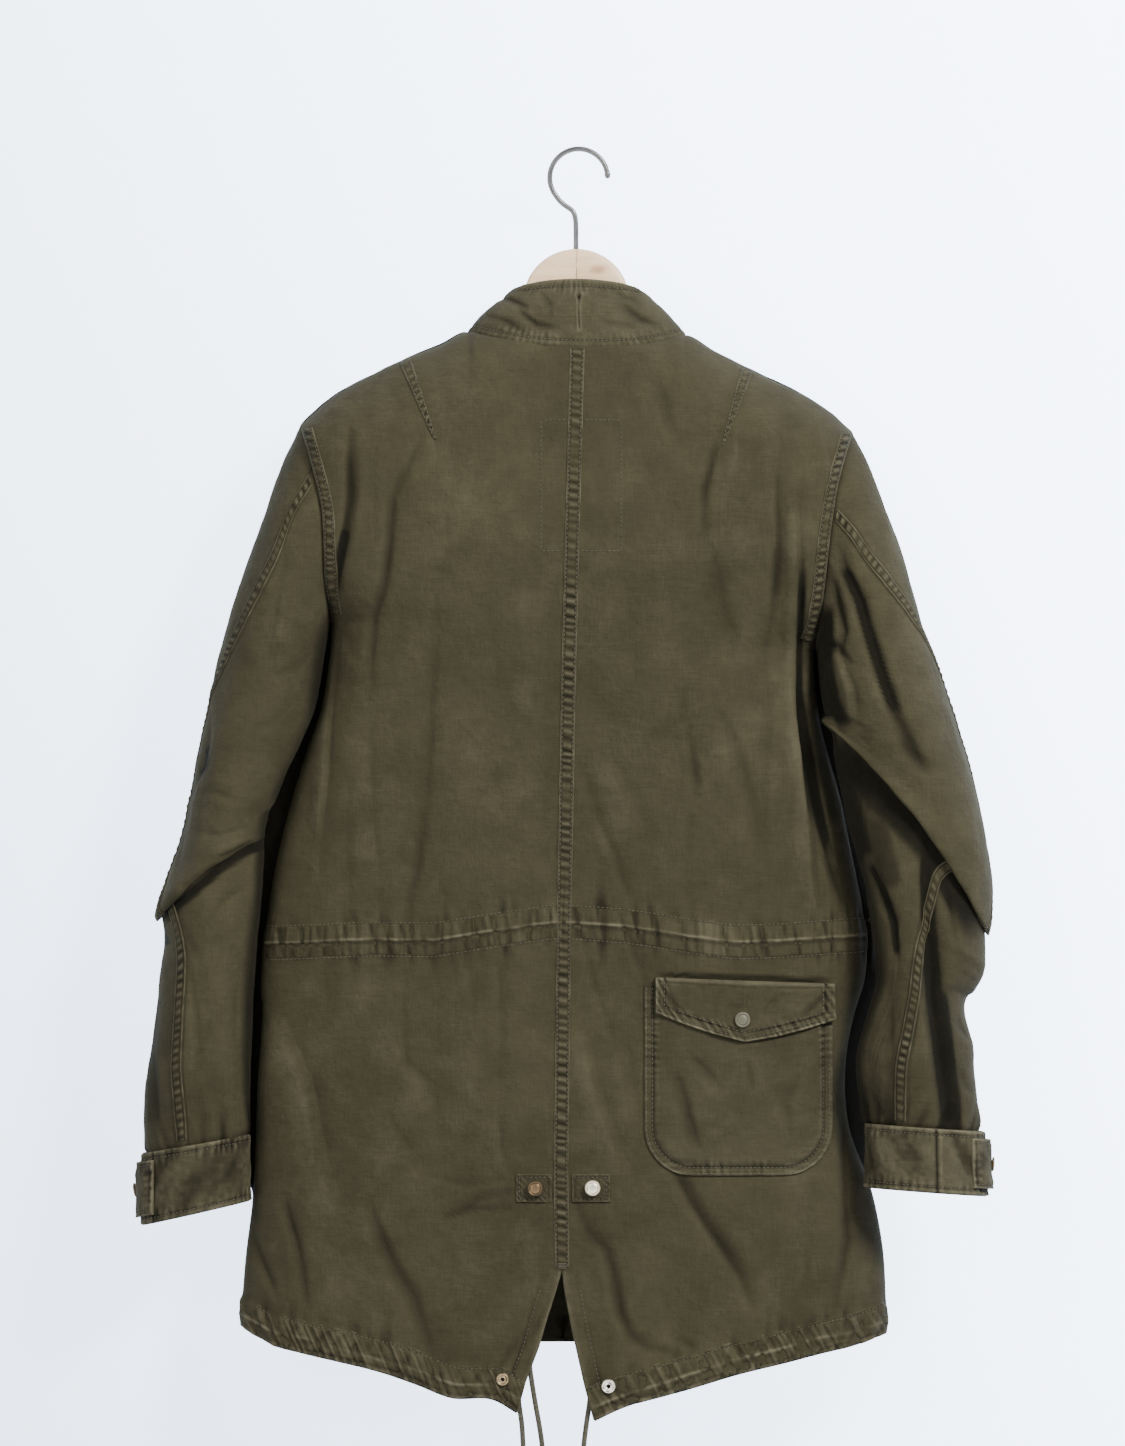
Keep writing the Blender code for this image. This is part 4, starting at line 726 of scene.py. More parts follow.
def body_normals(side, face, share, down):
    """Outward directions, from small steps across and down."""
    reach = 0.004
    right, left = held(share + reach), held(share - reach)
    lower, upper = held(down + reach), held(down - reach)
    across = body_point(side, face, right, down) - body_point(side, face, left, down)
    fall = body_point(side, face, share, lower) - body_point(side, face, share, upper)
    return unit(np.cross(across, fall)) * (SIDES[side] * face)


def body_shares(side, face, x, z):
    """The shares across and down of the point seen at x, z."""
    inner = centre_x(side, face, z)
    share = (x - inner) / (edge_x(side, z) - inner)
    top = top_line(side, face, share)
    return share, (z - top) / (hem_line(side, face, share) - top)


def seam_relief(side, face, share, x, z):
    """Height, wear and painted shade of the channels, hem and tail edges, without the finer bands over them.
    """
    inner = centre_x(side, face, z)
    seed = 11 + 3 * COLUMN[face, side]
    waist = z - waist_height(x)
    tall = 0.6 + 0.5 * wave(x, 9, seed + 1)
    around = np.exp(-np.clip(abs(waist) - 14, 0, 99) / (11 * tall))
    gathers = (wave(x + 0.1 * waist, 5.2, seed + 2) + 0.6 * wave(x, 2.7, seed + 3)) * around * tall
    height = 1.2 * bell(waist, 11.5) + 1.2 * gathers
    wear = 0.08 * held(gathers)
    # painted shade in the hollows between the channel's gathers and the hem's short wrinkles, and in the
    # groove by each tail's stitches
    shade = 0.8 * held(-gathers - 0.1)
    hem = z - hem_line(side, face, share)
    lumps = wave(x, 12, seed + 5)
    height += (1.3 + 0.9 * lumps) * step(23.5 - hem, 0, 3.5) * step(hem, -1, 9)
    short = wave(x, 5, seed + 6) * np.exp(-np.clip(hem - 22, 0, 99) / (9 + 5 * lumps)) * step(hem, 10, 22)
    height += 1.2 * short
    shade += 0.8 * held(-short - 0.1)
    wear += 0.5 * bell(hem, 2.5)
    if face == BACK:
        tail = 1 - step(z, VENT_TOP - 4, VENT_TOP + 2)
        rim = abs(x - inner)
        height += tail * 0.6 * step(13 - rim, 0, 2)
        shade += tail * 0.6 * bell(rim - 12.5, 1.2)
        wear += tail * 0.6 * bell(rim, 2.2)
        return height, wear, shade
    free = step(abs(x - inner), 34, 42)
    return height * free, wear * free, shade * free


def waist_height(x):
    return np.interp(x, WAIST[:, 0], WAIST[:, 1])


def pocket_cover(side, face, x, z):
    """1 under the pocket and its flap, 0 away from them."""
    if (side, face) != ("right", BACK):
        return np.zeros(x.shape)
    over = step(x, POCKET_SIDES[0] - 14, POCKET_SIDES[0]) * step(-x, -POCKET_SIDES[1] - 10, -POCKET_SIDES[1])
    return over * step(z, POCKET_BOTTOM - 10, POCKET_BOTTOM + 4) * step(-z, 622, 634)


def body_relief(side, face, share, down):
    """All relief of a body panel over its plain form, with its wear and its painted shade."""
    points = body_point(side, face, share, down)
    x, z = points[..., 0], points[..., 2]
    height, wear, shade = seam_relief(side, face, share, x, z)
    creases = crease_height(x, z, CREASES[face, side])
    drift = 0.9 * rumple(x, z, 38, 5 + COLUMN[face, side], 1.6) * step(share, 0, 0.1)
    crumple = 0.16 * rumple(x, z, 5.5, 21) + 0.3 * rumple(x, z, 13, 22, 1.3)
    under = 1 - 0.75 * pocket_cover(side, face, x, z)
    if face == FRONT:
        under = step(abs(x - centre_x(side, face, z)), 34, 48)
    height = height + ((creases + drift) * under + crumple) * step(1 - share, 0, 0.03)
    wear = held(wear + 0.10 * np.clip(creases - 0.3, 0, 3) + 0.08 * rumple(x, z, 21, 31, 1.8))
    # painted shade in crease valleys, along the deepest folds, and on the front's side where it shows in the
    # gap by the sleeve
    shade = shade + 0.24 * np.clip(-creases - 0.7, 0, 3)
    if face == BACK:
        shade = shade + shadow_depth(x, z, SHADOWS["body", side])
    else:
        shade = shade + 0.95 * step(share, 0.93, 0.97) * held(arm_gap(side, z) / 2)
    return points, height, wear, held(shade)


def body_grid(side, face, across_count, fall_count):
    """A panel's grid: its centre edge and hem turn in and run back up inside.

    Columns crowd towards the side fold as sin, and rows towards the shoulder as 1 - cos.
    """
    share = np.sin(np.linspace(0, np.pi / 2, across_count))
    crown = 1 - np.cos(np.linspace(0, np.pi / 2, CROWN_ROWS))
    drop = SHOULDER_ROUND / PANEL_FALL
    down = np.concatenate([crown[:-1] * drop, np.linspace(drop, 1, fall_count)])
    turn_in = np.array((0.05, 0.02, 0.004, 0, 0))
    share_in = np.concatenate([turn_in, share[1:]])
    inset_across = np.concatenate([[1.7, 1.7, 1.6, 0.9], np.zeros(across_count)])
    turn_up = np.array((1, 1, 0.996, 0.985, 0.972))
    down_up = np.concatenate([down, turn_up])
    inset_down = np.concatenate([np.zeros(len(down)), [0.9, 1.7, 1.8, 1.8, 1.8]])
    down_grid, share_grid = np.meshgrid(down_up, share_in, indexing="ij")
    inset = np.maximum(inset_down[:, None], inset_across[None, :])
    points, height, wear, shade = body_relief(side, face, share_grid, down_grid)
    normals = body_normals(side, face, share_grid, down_grid)
    return points + normals * (height - inset)[..., None], points, wear, shade


# ---- seams
EDGE_LIP = 0.35
CENTRE_HALF = 5.75
ARMHOLE_HALF = 4.6
SLEEVE_HALF = 4.9
WAIST_HALF = 16
WAIST_STITCH = 12.6
HEM_TALL = 26
HEM_STITCH = 22.3


def on_panel(side, face, x, z):
    """Points and outward directions on a panel's relief, at x and z."""
    share, down = body_shares(side, face, x, z)
    share, down = held(share), held(down)
    points, height, _, _ = body_relief(side, face, share, down)
    normals = body_normals(side, face, share, down)
    return points + normals * height[..., None], normals


def band_columns(half, spacing):
    """Distances across a band, doubled at its edges, and how far each stands up, 0 to 1."""
    count = max(5, int(2 * (half - EDGE_LIP) / spacing))
    across = np.pad(np.linspace(EDGE_LIP - half, half - EDGE_LIP, count), 2, constant_values=(-half, half))
    lip = np.concatenate([[-0.9, EDGE_LIP], np.ones(count), [EDGE_LIP, -0.9]])
    return across, lip


def felled_band(t, along, half, lip, seed, rise=0.8, pitch=6.8, skew=0.9):
    """Height, wear and painted shade of a felled seam.

    Its edges stand up by rise. A groove holds each line of stitches, and between the two the
    cloth ropes: sin(2 pi * along / pitch), its phase and strength wandering.
    """
    edge = half - abs(t)
    phase = 2 * np.pi * (along / pitch + 0.42 * wave(along, 17, seed)) + skew * t / half
    strength = 0.72 + 0.38 * wave(along, 29, seed + 1)
    between = step(edge, 1.5, 3)
    rope = (np.sin(phase) * 0.5 + 0.12 * wave(along, 2.4, seed + 2)) * strength * between
    ragged = 0.7 + 0.5 * wave(along, 7, seed + 3)
    height = lip * rise + 0.85 * rope - 0.42 * bell(edge - 1.7, 0.6)
    wear = 0.75 * bell(edge - 0.55, 0.6) * ragged + 1.25 * held(rope - 0.08)
    # painted shade in the grooves by the stitches, in the hollows between ropes and at the band's edge
    shade = 0.75 * bell(edge - 1.75, 0.6) + 2 * held(-rope - 0.05) + 0.5 * bell(edge, 0.15)
    return height, held(wear), held(shade)


def stitched(t, half):
    """The columns of a felled seam that hold its two lines of stitches."""
    return [abs(t - at).argmin() for at in (1.75 - half, half - 1.75)]


def add_band(name, points, normals, t, along, relief, cloth, columns=(), rows=()):
    """A strip of cloth over a seam, with a line of stitches down each named column or row."""
    height, wear, shade = relief
    t, along = (np.broadcast_to(field, height.shape) for field in (t, along))
    points = points + normals * height[..., None]
    piece = add_cloth(name, points, normals, cloth, t, along, wear, shade, False, columns, rows)
    return piece


def centre_band(cloth):
    """The felled seam down the middle of the back, over both backs, to the top of the vent."""
    t, lip = band_columns(CENTRE_HALF, 0.62)
    z = np.arange(-152.5, VENT_TOP + 1, -0.9)[:, None]
    x = centre_x("left", BACK, z) + t
    z = np.broadcast_to(z, x.shape)
    left, left_out = on_panel("left", BACK, x, z)
    right, right_out = on_panel("right", BACK, x, z)
    points = np.where((t < 0)[None, :, None], left, right)
    points[..., 0] = x
    normals = unit(left_out + right_out)
    relief = felled_band(t, z, CENTRE_HALF, lip, 201)
    return add_band("centre_seam", points, normals, t, z, relief, cloth, stitched(t, CENTRE_HALF))


def armhole_band(side, face, cloth):
    """The felled seam round half of an armhole."""
    t, lip = band_columns(ARMHOLE_HALF, 0.62)
    top = TOP[-1, COLUMN[BACK, side]] - 2
    z = np.arange(top, UNDERARM[side] + 5, -0.8)[:, None]
    x = edge_x(side, z) - SIDES[side] * (4.9 + t)
    z = np.broadcast_to(z, x.shape)
    points, normals = on_panel(side, face, x, z)
    relief = felled_band(t, z, ARMHOLE_HALF, lip, 211 + 5 * COLUMN[face, side], 0.7, 6, 0.6)
    name, lines = f"armhole_seam_{WORD[face]}_{side}", stitched(t, ARMHOLE_HALF)
    return add_band(name, points, normals, t, z, relief, cloth, lines)


def crowded(first, count):
    """Shares across from first to the side, crowding towards the side fold as sin."""
    return np.sin(np.linspace(math.asin(first), math.asin(0.996), count))[None, :]


def waist_band(side, face, cloth):
    """The waist channel: gathers between two lines of stitches, and a pale ridge along its middle.

    The gathers are noise at two pitches, strongest by the stitches; the ridge is a bell.
    """
    first, columns, rows = (0.006, 330, 42) if face == BACK else (PLACKET_SHARE + 0.02, 230, 34)
    share = crowded(first, columns)
    t = np.linspace(-WAIST_HALF, WAIST_HALF, rows)[:, None]
    x, t = np.broadcast_arrays(panel_x(side, face, share, -600), t)
    points, normals = on_panel(side, face, x, waist_height(x) + t)
    seed = 231 + 7 * COLUMN[face, side]
    slant = x + 0.25 * t
    gathers = wave(slant, 3.4, seed) + 0.6 * wave(slant - 0.3 * t, 1.8, seed + 1)
    uneven = 0.65 + 0.45 * wave(x, 26, seed + 2)
    feather = step(WAIST_HALF - abs(t), 0.5, 4)
    edge = bell(t - WAIST_STITCH, 0.8) + bell(t + WAIST_STITCH, 0.8)
    ridge = bell(t - 0.3 * wave(x, 12, seed + 3), 1)
    worn = np.clip(0.62 + 0.55 * wave(x, 14, seed + 4) + 0.3 * wave(x, 4, seed + 5), 0.05, 1)
    under = bell(t + 3, 1.6)
    height = 0.8 * feather - 0.4 + feather * (0.55 * gathers * uneven * (1 - 0.4 * ridge))
    height = height - 0.5 * edge * feather + (0.75 * ridge - 0.35 * under)
    wear = 0.95 * ridge * worn + 0.3 * held(gathers) * feather * uneven
    # painted shade along the stitch lines, in the hollows of the gathers and under the middle ridge
    shade = 0.35 * edge * (0.8 + 0.6 * gathers) + 0.7 * held(-gathers - 0.15) * feather + 0.4 * under
    relief = (height, held(wear), held(shade))
    lines = [abs(t[:, 0] - at).argmin() for at in (-WAIST_STITCH, WAIST_STITCH)]
    return add_band(f"waist_channel_{WORD[face]}_{side}", points, normals, x, t, relief, cloth, rows=lines)


def hem_band(side, face, cloth):
    """The hem channel: lumps between the edge and its stitches, turned under at the edge."""
    first, columns, rows = (0.004, 340, 34) if face == BACK else (PLACKET_SHARE + 0.02, 220, 27)
    t = np.concatenate([[-1, -1, -0.6], np.linspace(0, HEM_TALL, rows)])[:, None]
    tuck = np.concatenate([[-3, -1.6, -0.5], np.zeros(rows)])[:, None]
    share, t, tuck = np.broadcast_arrays(crowded(first, columns), t, tuck)
    z = hem_line(side, face, share) + t
    x = panel_x(side, face, share, z)
    points, normals = on_panel(side, face, x, np.maximum(z, hem_line(side, face, share)))
    points[..., 2] = z
    seed = 261 + 7 * COLUMN[face, side]
    lumps = wave(x - 0.4 * t, 4.4, seed) * (0.6 + 0.5 * wave(t, 7, seed + 6))
    lumps = lumps + 0.6 * wave(x + 0.5 * t, 2.2, seed + 1)
    folds = wave(t + 3 * wave(x, 18, seed + 2), 4, seed + 3)
    feather = step(HEM_TALL - t, 0.5, 3.5)
    stitch = bell(t - HEM_STITCH, 0.8)
    worn = held(0.5 + 0.6 * wave(x, 11, seed + 4))
    ridge = bell(t - 10 - 2 * wave(x, 30, seed + 5), 1.2)
    height = 1 * feather - 0.5 + feather * (1.3 * lumps + 0.4 * folds) - 0.6 * stitch + 0.7 * ridge * worn
    wear = (0.85 * bell(t, 1.3) + 1 * ridge) * worn + 0.5 * held(lumps) * feather
    # painted shade along the stitches, in the hollows between lumps and in a line above the turned edge
    shade = 0.75 * stitch + 1.3 * held(-lumps - 0.1) * feather + 0.5 * bell(t - 3.4, 0.9) * (1 - worn)
    relief = (height + tuck, held(wear), held(shade))
    line = abs(t[:, 0] - HEM_STITCH).argmin()
    return add_band(f"hem_channel_{WORD[face]}_{side}", points, normals, x, t, relief, cloth, rows=[line])


DARTS = {"left": ((-133, -160.5), (-109, -223), 9.5), "right": ((129.5, -167), (109.8, -227.5), 9.5)}


def dart_band(side, cloth):
    """A shoulder dart, stitched down both sides and running out to a point."""
    (x0, z0), (x1, z1), wide = DARTS[side]
    length = math.hypot(x1 - x0, z1 - z0)
    way_x, way_z = (x1 - x0) / length, (z1 - z0) / length
    t, lip = band_columns(wide / 2, 0.6)
    along = np.arange(0, length, 0.8)[:, None]
    narrow = 0.12 + 0.88 * (1 - along / length) ** 0.8
    x = x0 + way_x * along - way_z * t * narrow
    z = z0 + way_z * along + way_x * t * narrow
    points, normals = on_panel(side, BACK, x, z)
    sunk = step(along, 0, 2) * step(length - along, 0, 2)
    height, wear, shade = felled_band(t, along, wide / 2, lip, 291 + COLUMN[BACK, side], 0.9, 5.6)
    relief = (height * sunk - 0.6 * (1 - sunk), wear, shade)
    return add_band(f"shoulder_dart_{side}", points, normals, t, along, relief, cloth, stitched(t, wide / 2))


def sleeve_band(side, relief, cloth):
    """The felled seam down the back of a sleeve, laid over the grid's columns beside it.

    Each row's columns are read at even distances from the seam, and rows are eased to thirds.
    """
    t, lip = band_columns(SLEEVE_HALF, 0.65)
    near = np.concatenate([relief[:, -9:-1], relief[:, :9]], axis=1)
    apart = run_lengths(near, 1)
    apart -= apart[:, 8:9]
    rows = [[np.interp(t, row, part) for part in line.T] for row, line in zip(apart, near)]
    points = np.moveaxis(np.array(rows), 1, -1)
    at = np.arange(2, len(points) - 4, 1 / 3)
    whole = at.astype(int)
    part = (at - whole)[:, None, None]
    points = points[whole] * (1 - part) + points[whole + 1] * part
    normals = grid_normals(points)
    middle = len(t) // 2
    inside = relief.mean(axis=1)[whole][:, None]
    if (normals * (points - inside)).sum() < 0:
        normals = -normals
    normals = np.broadcast_to(normals[:, middle : middle + 1], normals.shape)
    along = run_lengths(points[:, middle])[:, None]
    style = felled_band(t, along, SLEEVE_HALF, lip, 301 + COLUMN[BACK, side], 0.75, 6.4)
    return add_band(f"sleeve_seam_{side}", points, normals, t, along, style, cloth)


# ---- the sleeves' form
def sleeve_rings(side, angle_shares):
    """Control rings of a sleeve: the armhole, then the table's ellipses.

    angle_shares runs 0 to 1 from the back seam over the back to the inner end, then 1 to 2 on
    round the front to the back seam again.
    """
    shoulder = TOP[-1, COLUMN[BACK, side]]
    middle = (shoulder + UNDERARM[side]) / 2
    half = (shoulder - UNDERARM[side]) / 2
    first = seam_angles(ARM_SEAM[side], angle_shares)
    z = middle + half * np.cos(first)
    rings = [np.stack([edge_x(side, z), -ARMHOLE_DEPTH * np.sin(first), z], axis=-1)]
    for row in SLEEVE[side]:
        rings.append(sleeve_ring(row, seam_angles(row[7], angle_shares)))
    return np.array(rings)


def seam_angles(seam, angle_shares):
    back = seam + (180 - seam) * angle_shares
    front = 180 + (180 + seam) * (angle_shares - 1)
    return np.radians(np.where(angle_shares <= 1, back, front))


def sleeve_ring(row, angle):
    """An ellipse from the outer end at angle 0, over the back at 90, to the inner end."""
    outer = np.array((row[0], row[5], row[1]))
    inner = np.array((row[2], row[5], row[3]))
    half = (outer - inner) / 2
    lift = np.cross(unit(half), (0, 1, 0))
    lift = lift if lift[2] > 0 else -lift
    cos, sin = np.cos(angle)[:, None], np.sin(angle)[:, None]
    return (outer + inner) / 2 + half * cos - np.array((0, row[4] / 2, 0)) * sin + lift * row[6] * sin**2


def sleeve_surface(side, down, angle_shares):
    """Points, outward normals, length down and arc round of a sleeve.

    down counts the control rings and is eased between them; the normals come from the grid.
    """
    rings = sleeve_rings(side, angle_shares)
    points = smooth(down, np.arange(len(rings)), rings)
    normals = grid_normals(points)
    middle = points.mean(axis=1, keepdims=True)
    if (normals * (points - middle)).sum() < 0:
        normals = -normals
    facing = held(-SIDES[side] * normals[..., 0])
    behind = step(points[..., 1] - middle[..., 1], -4, 14)
    roll = arm_gap(side, points[..., 2]) * (1 - FRONT_ROLL) + 1.5
    points[..., 0] -= SIDES[side] * roll * facing * behind * step(-points[..., 2], 385, 430)
    return points, normals, run_lengths(points), run_lengths(points, 1)


def sleeve_relief(side, down, points, normals, along, round_it):
    """Relief over the plain sleeve: the armhole groove, creases and gathers, with wear and painted shade in
    its grooves, hollows and folds and by the body.
    """
    x, z = points[..., 0], points[..., 2]
    seed = 61 if side == "left" else 71
    total = round_it[:, -1:]
    from_seam = np.minimum(round_it, total - round_it)
    height = 0.3 * step(6.2 - from_seam, 0, 3)
    wear = np.zeros(x.shape)
    # painted shade beside the back seam, in the armhole's groove and in the hollows of the gathers by the
    # cuff
    shade = 0.5 * bell(from_seam - 5.4, 0.8)
    ease = pucker(along - 2, round_it, seed + 1, 6)
    height += ease * 0.9 * step(along, 0, 3) - 1 * bell(along, 2.2)
    shade += 0.6 * bell(along, 2)
    to_cuff = along[-1:] - along
    gathers = wave(round_it, 8.5, seed + 2) + 0.6 * wave(round_it, 4.2, seed + 3)
    height += gathers * 1.8 * bell(to_cuff - 6, 17)
    shade += held(-gathers) * 0.75 * bell(to_cuff, 15)
    toward_back = step(-normals[..., 1], -0.25, 0.25)
    back = crease_height(x, z, SLEEVE_CREASES[BACK, side])
    front = crease_height(x, z, SLEEVE_CREASES[FRONT, side])
    creases = back * toward_back + front * (1 - toward_back)
    drift = 1 * rumple(round_it, along, 26, seed + 4, 1.8)
    crumple = 0.16 * rumple(x, z, 5.5, 21) + 0.35 * rumple(round_it, along, 12, seed + 5, 1.4)
    open_end = step(along, 0, 18) * step(to_cuff, 0, 8)
    seam_free = step(from_seam, 2, 12)
    height = height * step(along, 0, 4) + (creases + drift * seam_free + crumple) * open_end
    wear = held(wear + 0.10 * np.clip(creases - 0.3, 0, 3) + 0.08 * rumple(x, z, 19, 33, 1.8))
    # painted shade along the deepest folds, and under the elbow's fold on the rings below it
    beneath = step(down, FOLD_RING[side] + 0.3, FOLD_RING[side] + 0.9)[:, None]
    fold_shade = beneath * shadow_depth(x, z, UNDER_FOLD_SHADOWS[side])
    fold_shade = np.maximum(shadow_depth(x, z, SHADOWS["sleeve", side]), fold_shade)
    shade = shade + 0.26 * np.clip(-creases - 0.7, 0, 3) + fold_shade * toward_back
    # painted shade on the side that faces the body across the gap
    gap_shade = step(-SIDES[side] * normals[..., 0], 0.8, 0.97) * held(arm_gap(side, z) / 2)
    return height, wear, held(shade + 0.9 * gap_shade)


def build_sleeve(side, cloth, under_count, upper_count, row_steps):
    """The two halves of a sleeve, cut from one closed surface along the back seam and inner line."""
    under = np.linspace(0, 1, under_count)
    shares = np.concatenate([under, np.linspace(1, 2, upper_count)[1:]])
    ring_count = len(SLEEVE[side])
    down = np.linspace(0, ring_count, ring_count * row_steps + 1)
    points, normals, along, round_it = sleeve_surface(side, down, shares)
    height, wear, shade = sleeve_relief(side, down, points, normals, along, round_it)
    height[:, -1] = height[:, 0]
    tuck = 1.4 * step(along, along[-1:] - 3, along[-1:])
    relief = points + normals * (height - tuck)[..., None]
    relief[:, -1] = relief[:, 0]
    end = relief[-1:] + (relief[-1:] - relief[-3:-2]) * 0.7
    relief = np.concatenate([relief, end])
    wear, shade, along, round_it, normals = (
        np.concatenate([part, part[-1:]]) for part in (wear, shade, along, round_it, normals)
    )
    pieces = [sleeve_band(side, relief, cloth)]
    for word, columns in (("under", slice(0, under_count)), ("upper", slice(under_count - 1, None))):
        name = f"{word}sleeve_{side}"
        part = [field[:, columns] for field in (relief, normals, round_it, along, wear, shade)]
        piece = add_cloth(name + "_cloth", part[0], part[1], cloth, *part[2:])
        pieces.append(stand_in(piece, name))
    return pieces


def cuff_rings(side, rows, angle):
    """Rings from the sleeve's end to the cuff's end, with the directions out of them."""
    start, end = SLEEVE[side][-1][:6], np.array(CUFF_END[side])
    across = np.array((start[0] - start[2], 0, start[1] - start[3]))
    axis = unit(np.cross(across, (0, 1, 0)))
    axis = axis if axis[2] < 0 else -axis
    points, middles = [], []
    for row in rows:
        value = (*(start + (end - start) * row), 0)
        points.append(sleeve_ring(value, angle))
        middles.append(((value[0] + value[2]) / 2, value[5], (value[1] + value[3]) / 2))
    points, middles = np.array(points), np.array(middles)
    out = points - middles[:, None]
    out = unit(out - (out @ axis)[..., None] * axis)
    return points, out


# ---- smaller cloth pieces
CUFF_STITCH = 4.5
VENT_STITCH = 2.4
COLLAR_STITCH = 5
COLLAR_TOP_STITCH = 6
COLLAR_TOP = {BACK: -98.5, FRONT: -152}
COLLAR_SHOULDER = -107
COLLAR_HALF = 47.5
CUFF_TALL = 50
CUFF_RADIUS = 36
TAB_FROM, TAB_TO = 6, 44
PLACKET_STITCH = 12


def rims(shape, levels):
    """1 over a grid, and each level on the ring of points that far in from its border."""
    sink = np.ones(shape)
    for rim, level in enumerate(levels):
        for line in (sink[rim], sink[-1 - rim], sink[:, rim], sink[:, -1 - rim]):
            np.minimum(line, level, out=line)
    return sink


def build_cuff(side, cloth):
    """A doubled band round the sleeve's end, its edges rolled, with a lapped end under the tab."""
    angle = np.linspace(0, 2 * np.pi, 260, endpoint=False)
    inside = [(row, -BAND) for row in np.linspace(0.25, 0.97, 6)]
    lower = [(0.985, -1.9), (1, -0.9), (1.003, 0.1)]
    outside = [(row, 1) for row in np.linspace(0.985, 0.03, 46)]
    upper = [(0.012, 0.75), (0, 0.1), (0, -0.9), (0, -2.8), (0, -5)]
    profile = np.array((*inside, *lower, *outside, *upper))
    points, out = cuff_rings(side, profile[:, 0], angle)
    height = np.linalg.norm(points[-1] - points[len(inside)], axis=-1).mean()
    along = profile[:, :1] * height
    radius = np.linalg.norm(points - points.mean(axis=1, keepdims=True), axis=-1).mean()
    round_it = np.broadcast_to(angle[None, :] * radius, (len(profile), len(angle)))
    seed = 81 if side == "left" else 91
    showing = step(profile[:, 1:], 0.2, 0.9)
    creases = 0.8 * rumple(round_it + 0.5 * along, along, 9, seed, 2.5)
    creases = creases + 0.4 * rumple(round_it, along, 4, seed + 1)
    folds = wave(round_it + 0.4 * along, 13, seed + 5)
    creases = creases + 1.6 * folds * bell(along - 0.5 * height, 0.4 * height)
    stitch = bell(along - CUFF_STITCH, 0.9) + bell(along - height + CUFF_STITCH, 0.9)
    rope = pucker(along - 3, round_it, seed + 2, 5.5, 6)
    rope = rope + pucker(height - 3 - along, round_it, seed + 3, 5.5, 6)
    degrees = np.degrees(angle)[None, :]
    past = (CUFF_LAP[side] - degrees + 180) % 360 - 180
    lap = 1.3 * step(past, -1.5, 1.5) * step((degrees + 60) % 360, 0, 30)
    relief = showing * (creases - 0.5 * stitch + 1.1 * rope + lap) + profile[:, 1:]
    edges = bell(along, 2.2) + bell(along - height, 2.2)
    worn = 0.65 + 0.5 * wave(round_it, 8, seed + 6)
    rubbed = (edges + 0.5 * bell(past - 1.5, 1.2)) * worn
    wear = held(0.2 + 0.9 * rope + rubbed + 0.15 * creases) * showing
    # painted shade in the stitch grooves and the hollows between ropes and creases, and a painted shadow
    # along the lap's edge
    shade = 0.6 * stitch - 0.9 * rope + 0.4 * np.clip(-creases, 0, 2) + bell(past + 2, 1.3)
    along = np.broadcast_to(along, round_it.shape)
    places = points + out * relief[..., None]
    name, shade = f"cuff_{side}_band", held(shade) * showing
    first = len(inside) + len(lower)
    lines = [abs(along[first:, 0] - at).argmin() + first for at in (CUFF_STITCH, height - CUFF_STITCH)]
    piece = add_cloth(name, places, out, cloth, round_it, along, wear, shade, True, rows=lines)
    return stand_in(piece, f"cuff_{side}")


def laid(grid, x, z):
    """Points at x and z on a nearly flat grid, their depth taken from its four nearest points."""
    flat = grid.reshape(-1, 3)
    far = (flat[:, 0] - x[:, None]) ** 2 + (flat[:, 2] - z[:, None]) ** 2
    near = np.argpartition(far, 4, axis=1)[:, :4]
    weight = 1 / (np.take_along_axis(far, near, axis=1) + 0.05)
    depth = (flat[near, 1] * weight).sum(axis=1) / weight.sum(axis=1)
    return np.stack([x, depth, z], axis=-1)


def corners_route(corners, spacing=0.8):
    """Evenly spaced points along the straight runs between corners."""
    corners = np.asarray(corners, dtype=float)
    along = run_lengths(corners)
    at = np.arange(0, along[-1], spacing)
    return np.interp(at, along, corners[:, 0]), np.interp(at, along, corners[:, 1])


def build_patch(node, side, outline, counts, relief, cloth, routes):
    """A patch lying on the back: a grid over its outline, its rims turned down to the panel.

    outline gives x and height from u across and v down, both 0 to 1; relief gives the height
    over the panel, wear and painted shade. Each route of corners is a line of stitches.
    """
    u, v = (np.linspace(0, 1, count) for count in counts)
    v, u = np.meshgrid(np.pad(v, 3, mode="edge"), np.pad(u, 3, mode="edge"), indexing="ij")
    x, z = outline(u, v)
    sink = rims(u.shape, (0, 0.3, 0.75))
    height, wear, shade = relief(u, v, x, z)
    points, normals = on_panel(side, BACK, x, z)
    points = points + normals * (height * sink + 0.1 * (1 - sink))[..., None]
    name = node + "_cloth"
    piece = add_cloth(name, points, normals, cloth, x, z, held(wear) * sink, held(shade))
    for route in routes:
        line = laid(points[3:-3, 3:-3], *corners_route(route))
        sew(name, line, np.broadcast_to((0, -1, 0), line.shape))
    return stand_in(piece, node)


def bag_rim(x, z):
    """Distance in from the pocket's outline, whose lower corners are quarter circles."""
    across = abs(x - POCKET_MIDDLE) - (POCKET_HALF - POCKET_CORNER)
    below = POCKET_BOTTOM + POCKET_CORNER - z
    corner = np.hypot(np.clip(across, 0, None), np.clip(below, 0, None))
    return POCKET_CORNER - np.where((across > 0) & (below > 0), corner, np.maximum(across, below))


def bag_route(inset):
    """The bag's sides and rounded bottom, as a run that far in from its outline."""
    (left, right), radius = POCKET_SIDES, POCKET_CORNER - inset
    turn = np.radians(np.linspace(0, 90, 12))
    low = POCKET_BOTTOM + POCKET_CORNER
    arc = np.stack([-radius * np.cos(turn), -radius * np.sin(turn)], axis=-1)
    first = arc + (left + POCKET_CORNER, low)
    last = arc[::-1] * (-1, 1) + (right - POCKET_CORNER, low)
    return [(left + inset, POCKET_TOP), *first, *last, (right - inset, POCKET_TOP)]


